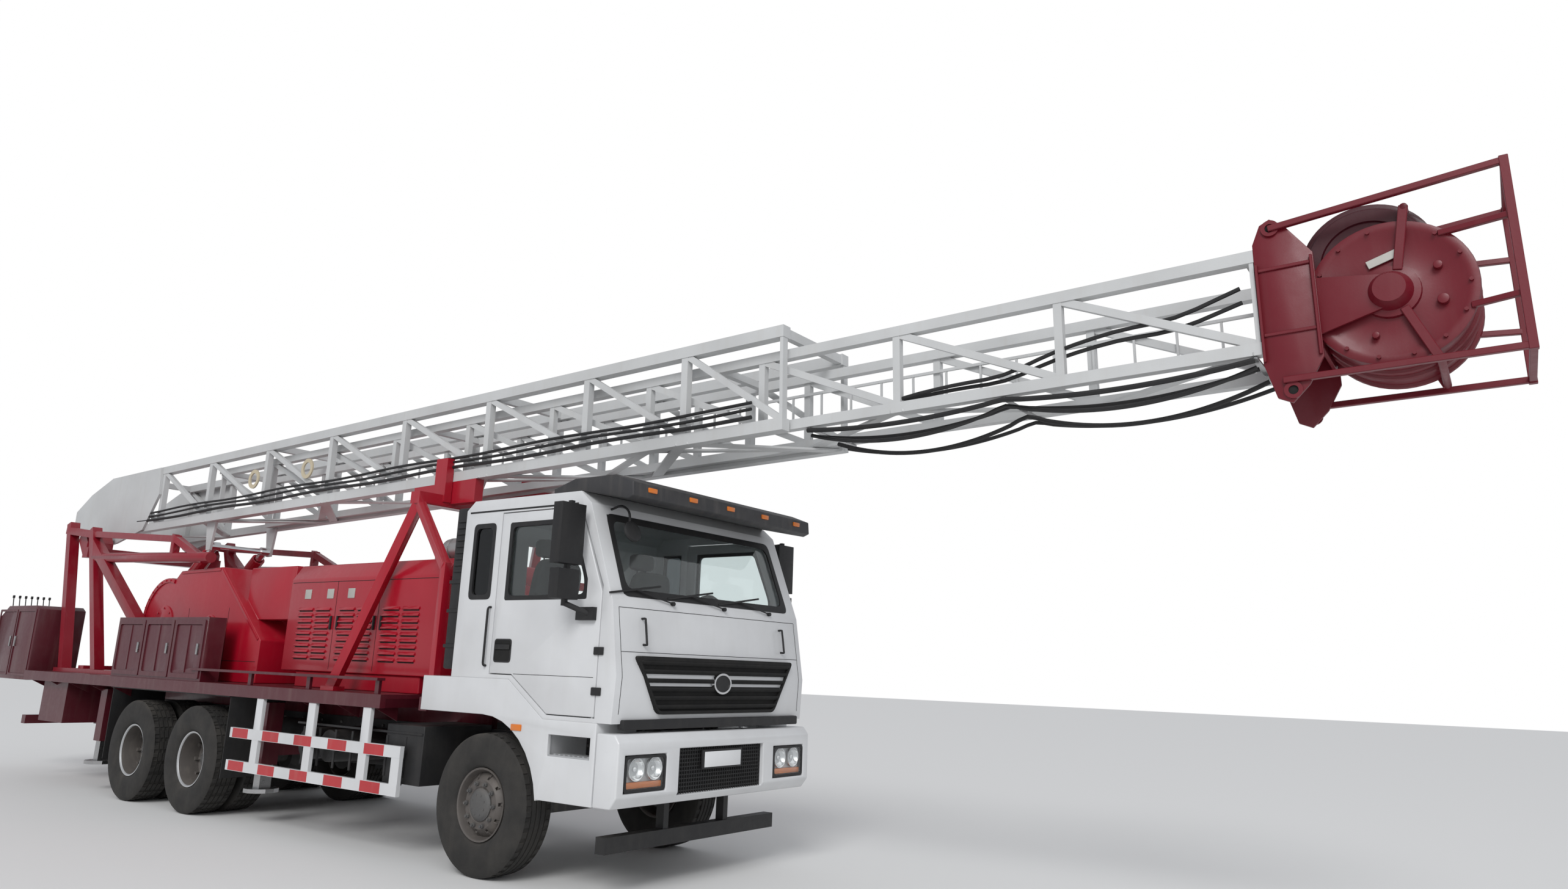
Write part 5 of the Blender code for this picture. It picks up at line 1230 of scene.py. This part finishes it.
def buildMast():
    paintNode("mast_lower", "mastPaint")
    paintNode("mast_upper", "mastPaint")
    for side in ("barrels", "rods"):
        paintNode(f"raising_{side}", "redPaint" if side == "barrels" else "chrome")
    bm = bmesh.new()   # ladder inside the far side of the upper section
    y = 0.30
    for above in (0.30, 0.58):
        addBar(bm, onMast(4.6, y, above), onMast(15.2, y, above), 0.022, 0.022)
    for k in range(36):
        along = 4.75 + k * 0.30
        addBar(bm, onMast(along, y, 0.30), onMast(along, y, 0.58), 0.016, 0.016)
    piece("mastLadder", bm, "mastPaint", "mast_top")
    bm = bmesh.new()   # hoses that hang between clips under the upper section
    for across, first, drop, radius in ((-0.36, 0.06, 0.05, 0.019), (-0.30, 0.03, 0.13, 0.015),
                                        (-0.22, 0.04, 0.09, 0.015), (0.10, 0.04, 0.16, 0.017),
                                        (0.26, 0.03, 0.11, 0.015)):
        route = []
        for step in range(25):
            along = 11.95 + step * 3.30 / 24
            share = (along - 11.95) / hose["spacing"] % 1
            route.append(onMast(along, across, first - 4 * drop * share * (1 - share)))
        addHose(bm, route, radius, 8, 2)
    for rise, across in ((0.42, -0.33), (0.34, -0.29)):   # hoses that climb inside it
        route = [onMast(12.0 + 0.4 * step, across, 0.12 + rise * (step / 8) ** 1.4
                        - 0.03 * sin(2 * step)) for step in range(9)]
        addHose(bm, route, 0.015, 8, 3)
    piece("mastHoses", bm, "blackPlastic", "mast_top")
    bm = bmesh.new()
    for k in range(3):
        along = 11.95 + hose["spacing"] * k
        addBar(bm, onMast(along, -0.36, 0.075), onMast(along, 0.36, 0.075), 0.04, 0.012, 0.002)
    piece("hoseClips", bm, "bareSteel", "mast_top")
    bm = bmesh.new()   # hoses along the lower section
    for k, (across, above, radius) in enumerate(((-0.515, 0.20, 0.018), (-0.515, 0.26, 0.014),
                                                 (-0.515, 0.31, 0.014))):
        route = [onMast(along, across, above + 0.010 * sin(2.7 * along + k))
                 for along in [0.7 + 0.6 * step for step in range(19)]]
        addHose(bm, route, radius, 8, 3)
    piece("lowerHoses", bm, "blackPlastic", "mast")
    bm = bmesh.new()   # bracket on the lower section, with round holes
    for s in (-1, 1):
        for first in (3.75, 4.95):
            centre = onMast(first, s * 0.512, 0.50)
            ring = [(0.0, 0.075), (0.0, 0.12), (s * 0.016, 0.12), (s * 0.016, 0.075),
                    (0.0, 0.075)]
            addTurned(bm, ring, centre, (0, 1, 0), 28)
    piece("mastEyes", bm, "creamPaint", "mast")
    print("mast made")


def mastOutline(points):
    places = [onMast(along, 0, above) for along, above in points]
    return [(place.x, place.z) for place in places]


def buildCrown():
    start, half, end = crown["start"], crown["plate"], crown["end"]
    bm = bmesh.new()   # head frame with ears, and the arm to the sheave pin
    for s in (-1, 1):
        outline = [(start, 0.02), (start, 0.80), (start + 0.05, 0.92), (start + 0.11, 0.95),
                   (start + 0.18, 0.90), (start + 0.33, 0.68), (start + 0.33, 0.02),
                   (start + 0.24, -0.14), (start + 0.14, -0.24), (start + 0.06, -0.20)]
        addPlate(bm, mastOutline(outline), s * half, s * (half - 0.025), "y", 0.003)
        arm = [(start + 0.32, 0.52), (crown["sheave"][0], 0.46), (crown["sheave"][0] + 0.09, 0.40),
               (crown["sheave"][0] + 0.09, 0.32), (crown["sheave"][0], 0.27),
               (start + 0.32, 0.16)]
        addPlate(bm, mastOutline(arm), s * (half - 0.022), s * (half - 0.046), "y", 0.003)
        for along in (start + 0.012, start + 0.318):   # raised edges of the plates
            addBar(bm, onMast(along, s * (half + 0.008), 0.03),
                   onMast(along, s * (half + 0.008), 0.66), 0.03, 0.016, 0.003)
        for above in (0.20, 0.62):
            addBar(bm, onMast(start + 0.02, s * (half + 0.004), above),
                   onMast(start + 0.31, s * (half + 0.004), above), 0.018, 0.02, 0.003)
        ear = [(0, 0.028), (0, 0.052), (s * 0.014, 0.052), (s * 0.014, 0.028), (0, 0.028)]
        for along, above in ((start + 0.11, 0.885), (start + 0.15, -0.165)):
            addTurned(bm, ear, onMast(along, s * half, above), (0, 1, 0), 20)
    for along, low, high in ((start + 0.02, 0.05, 0.78), (start + 0.31, 0.10, 0.62)):
        addBar(bm, onMast(along, 0, low), onMast(along, 0, high), 2 * half - 0.03, 0.024, 0.003)
    piece("crownFrame", bm, "crownPaint", "mast_top", replaces=("crown_block",))
    # painted shade: flat near-black discs in the ear rings, standing for the shaded holes through the
    # ears
    bm = bmesh.new()
    for s in (-1, 1):
        for along, above in ((start + 0.11, 0.885), (start + 0.15, -0.165)):
            spot = onMast(along, s * half, above)
            addRod(bm, spot, spot + Vector((0, s * 0.004, 0)), 0.029, 20)
    piece("earHoleShade", bm, "seamDarkAndPaintedShade", "mast_top")
    centre = onMast(*[crown["sheave"][0], 0, crown["sheave"][1]])
    radius = crown["radius"]
    bm = bmesh.new()   # round sheave housing with rolled rims
    outline = [(-0.300, 0.0), (-0.300, 0.14), (-0.292, 0.16), (-0.292, 0.36), (-0.302, 0.38),
               (-0.306, 0.41), (-0.300, 0.435), (-0.285, radius), (-0.268, 0.435),
               (-0.260, 0.418), (-0.09, 0.418), (-0.082, 0.434), (-0.066, radius),
               (-0.05, 0.434), (-0.042, 0.418)]
    outline += [(-offset, height) for offset, height in reversed(outline)]
    addTurned(bm, outline, centre, (0, 1, 0), 56)
    for s in (-1, 1):
        boss = [(s * 0.29, 0.0), (s * 0.29, 0.16), (s * 0.318, 0.155), (s * 0.324, 0.12),
                (s * 0.352, 0.11), (s * 0.375, 0.098), (s * 0.398, 0.085), (s * 0.400, 0.0)]
        addTurned(bm, boss, centre, (0, 1, 0), 32)
        for k in range(14):
            turn = 2 * pi * k / 14
            spot = centre + Vector((cos(turn) * 0.395, s * 0.300, sin(turn) * 0.395))
            addRod(bm, spot, spot + Vector((0, s * 0.022, 0)), 0.012, 6)
        for turn, size in ((25, 0.024), (-20, 0.03), (-110, 0.02)):
            spot = centre + Vector((cos(radians(turn)) * 0.27, s * 0.29, sin(radians(turn)) * 0.27))
            addRod(bm, spot, spot + Vector((0, s * 0.04, 0)), size, 16, 0.005)
    for along, above in ((16.12, 0.86), (16.20, -0.08)):   # rope guard pins
        addRod(bm, onMast(along, -0.33, above), onMast(along, 0.33, above), 0.022, 14, 0.004)
    for s in (-1, 1):
        addBar(bm, onMast(16.12, s * 0.315, 0.87), onMast(16.05, s * 0.315, 0.48), 0.03, 0.05,
               0.004)
        addBar(bm, onMast(16.20, s * 0.315, -0.09), onMast(16.06, s * 0.315, 0.25), 0.03, 0.05,
               0.004)
    piece("crownHousing", bm, "crownPaint", "mast_top", replaces=("crown_block",))
    bm = bmesh.new()   # darker ribbed hood over the rear sheaves
    hood = onMast(crown["hood"][0], 0, crown["hood"][1])
    outline = [(-0.24, 0.0), (-0.24, 0.33)]
    for k in range(6):
        y = -0.225 + k * 0.09
        outline += [(y - 0.014, 0.345), (y - 0.008, crown["hoodRadius"]),
                    (y + 0.008, crown["hoodRadius"]), (y + 0.014, 0.345)]
    outline += [(0.24, 0.33), (0.24, 0.0)]
    addTurned(bm, outline, hood, (0, 1, 0), 56)
    for s in (-1, 1):   # stepped ring on the hood's cheeks
        ring = [(s * 0.235, 0.24), (s * 0.252, 0.25), (s * 0.252, 0.32), (s * 0.235, 0.335),
                (s * 0.225, 0.28), (s * 0.235, 0.24)]
        addTurned(bm, ring, hood, (0, 1, 0), 56)
    piece("crownHood", bm, "hoodPaint", "mast_top", replaces=("crown_block",))
    bm = bmesh.new()   # thin square cage round the crown
    for s in (-1, 1):
        y = s * 0.38
        for above in (-0.10, 0.98):
            addBar(bm, onMast(start + 0.10, y, min(above, 0.88)), onMast(end, y, above), 0.038,
                   0.038, 0.004)
        for above, reach in ((0.20, 0.38), (0.66, 0.27)):
            addBar(bm, onMast(crown["sheave"][0] + reach, s * 0.30, above), onMast(end, y, above),
                   0.034, 0.034, 0.004)
        addBar(bm, onMast(end, y, -0.125), onMast(end, y, 1.005), 0.045, 0.045, 0.003)
    for above in (-0.10, 0.98):
        addBar(bm, onMast(end, -0.38, above), onMast(end, 0.38, above), 0.038, 0.038, 0.004)
    piece("crownCage", bm, "crownPaint", "mast_top", replaces=("crown_block",))
    bm = bmesh.new()   # blank plate on the housing
    for s in (-1, 1):
        addBar(bm, onMast(15.90, s * 0.306, 0.545), onMast(16.08, s * 0.306, 0.60), 0.006, 0.05,
               0.002)
    piece("crownPlate", bm, "palePlate", "mast_top")
    print("crown made")


# ---- the whole rig ----
buildCamera()
buildStudio()
buildMaterials()
for build in (buildUnderside, buildWheels, buildCabBody, buildScreen, buildCabFront, buildLamps,
              buildCabSides, buildMirrors, buildSeats, buildEngineCover, buildWinchCover,
              buildDeck, buildGuards, buildTanks, buildRear, buildMast, buildCrown):
    build()
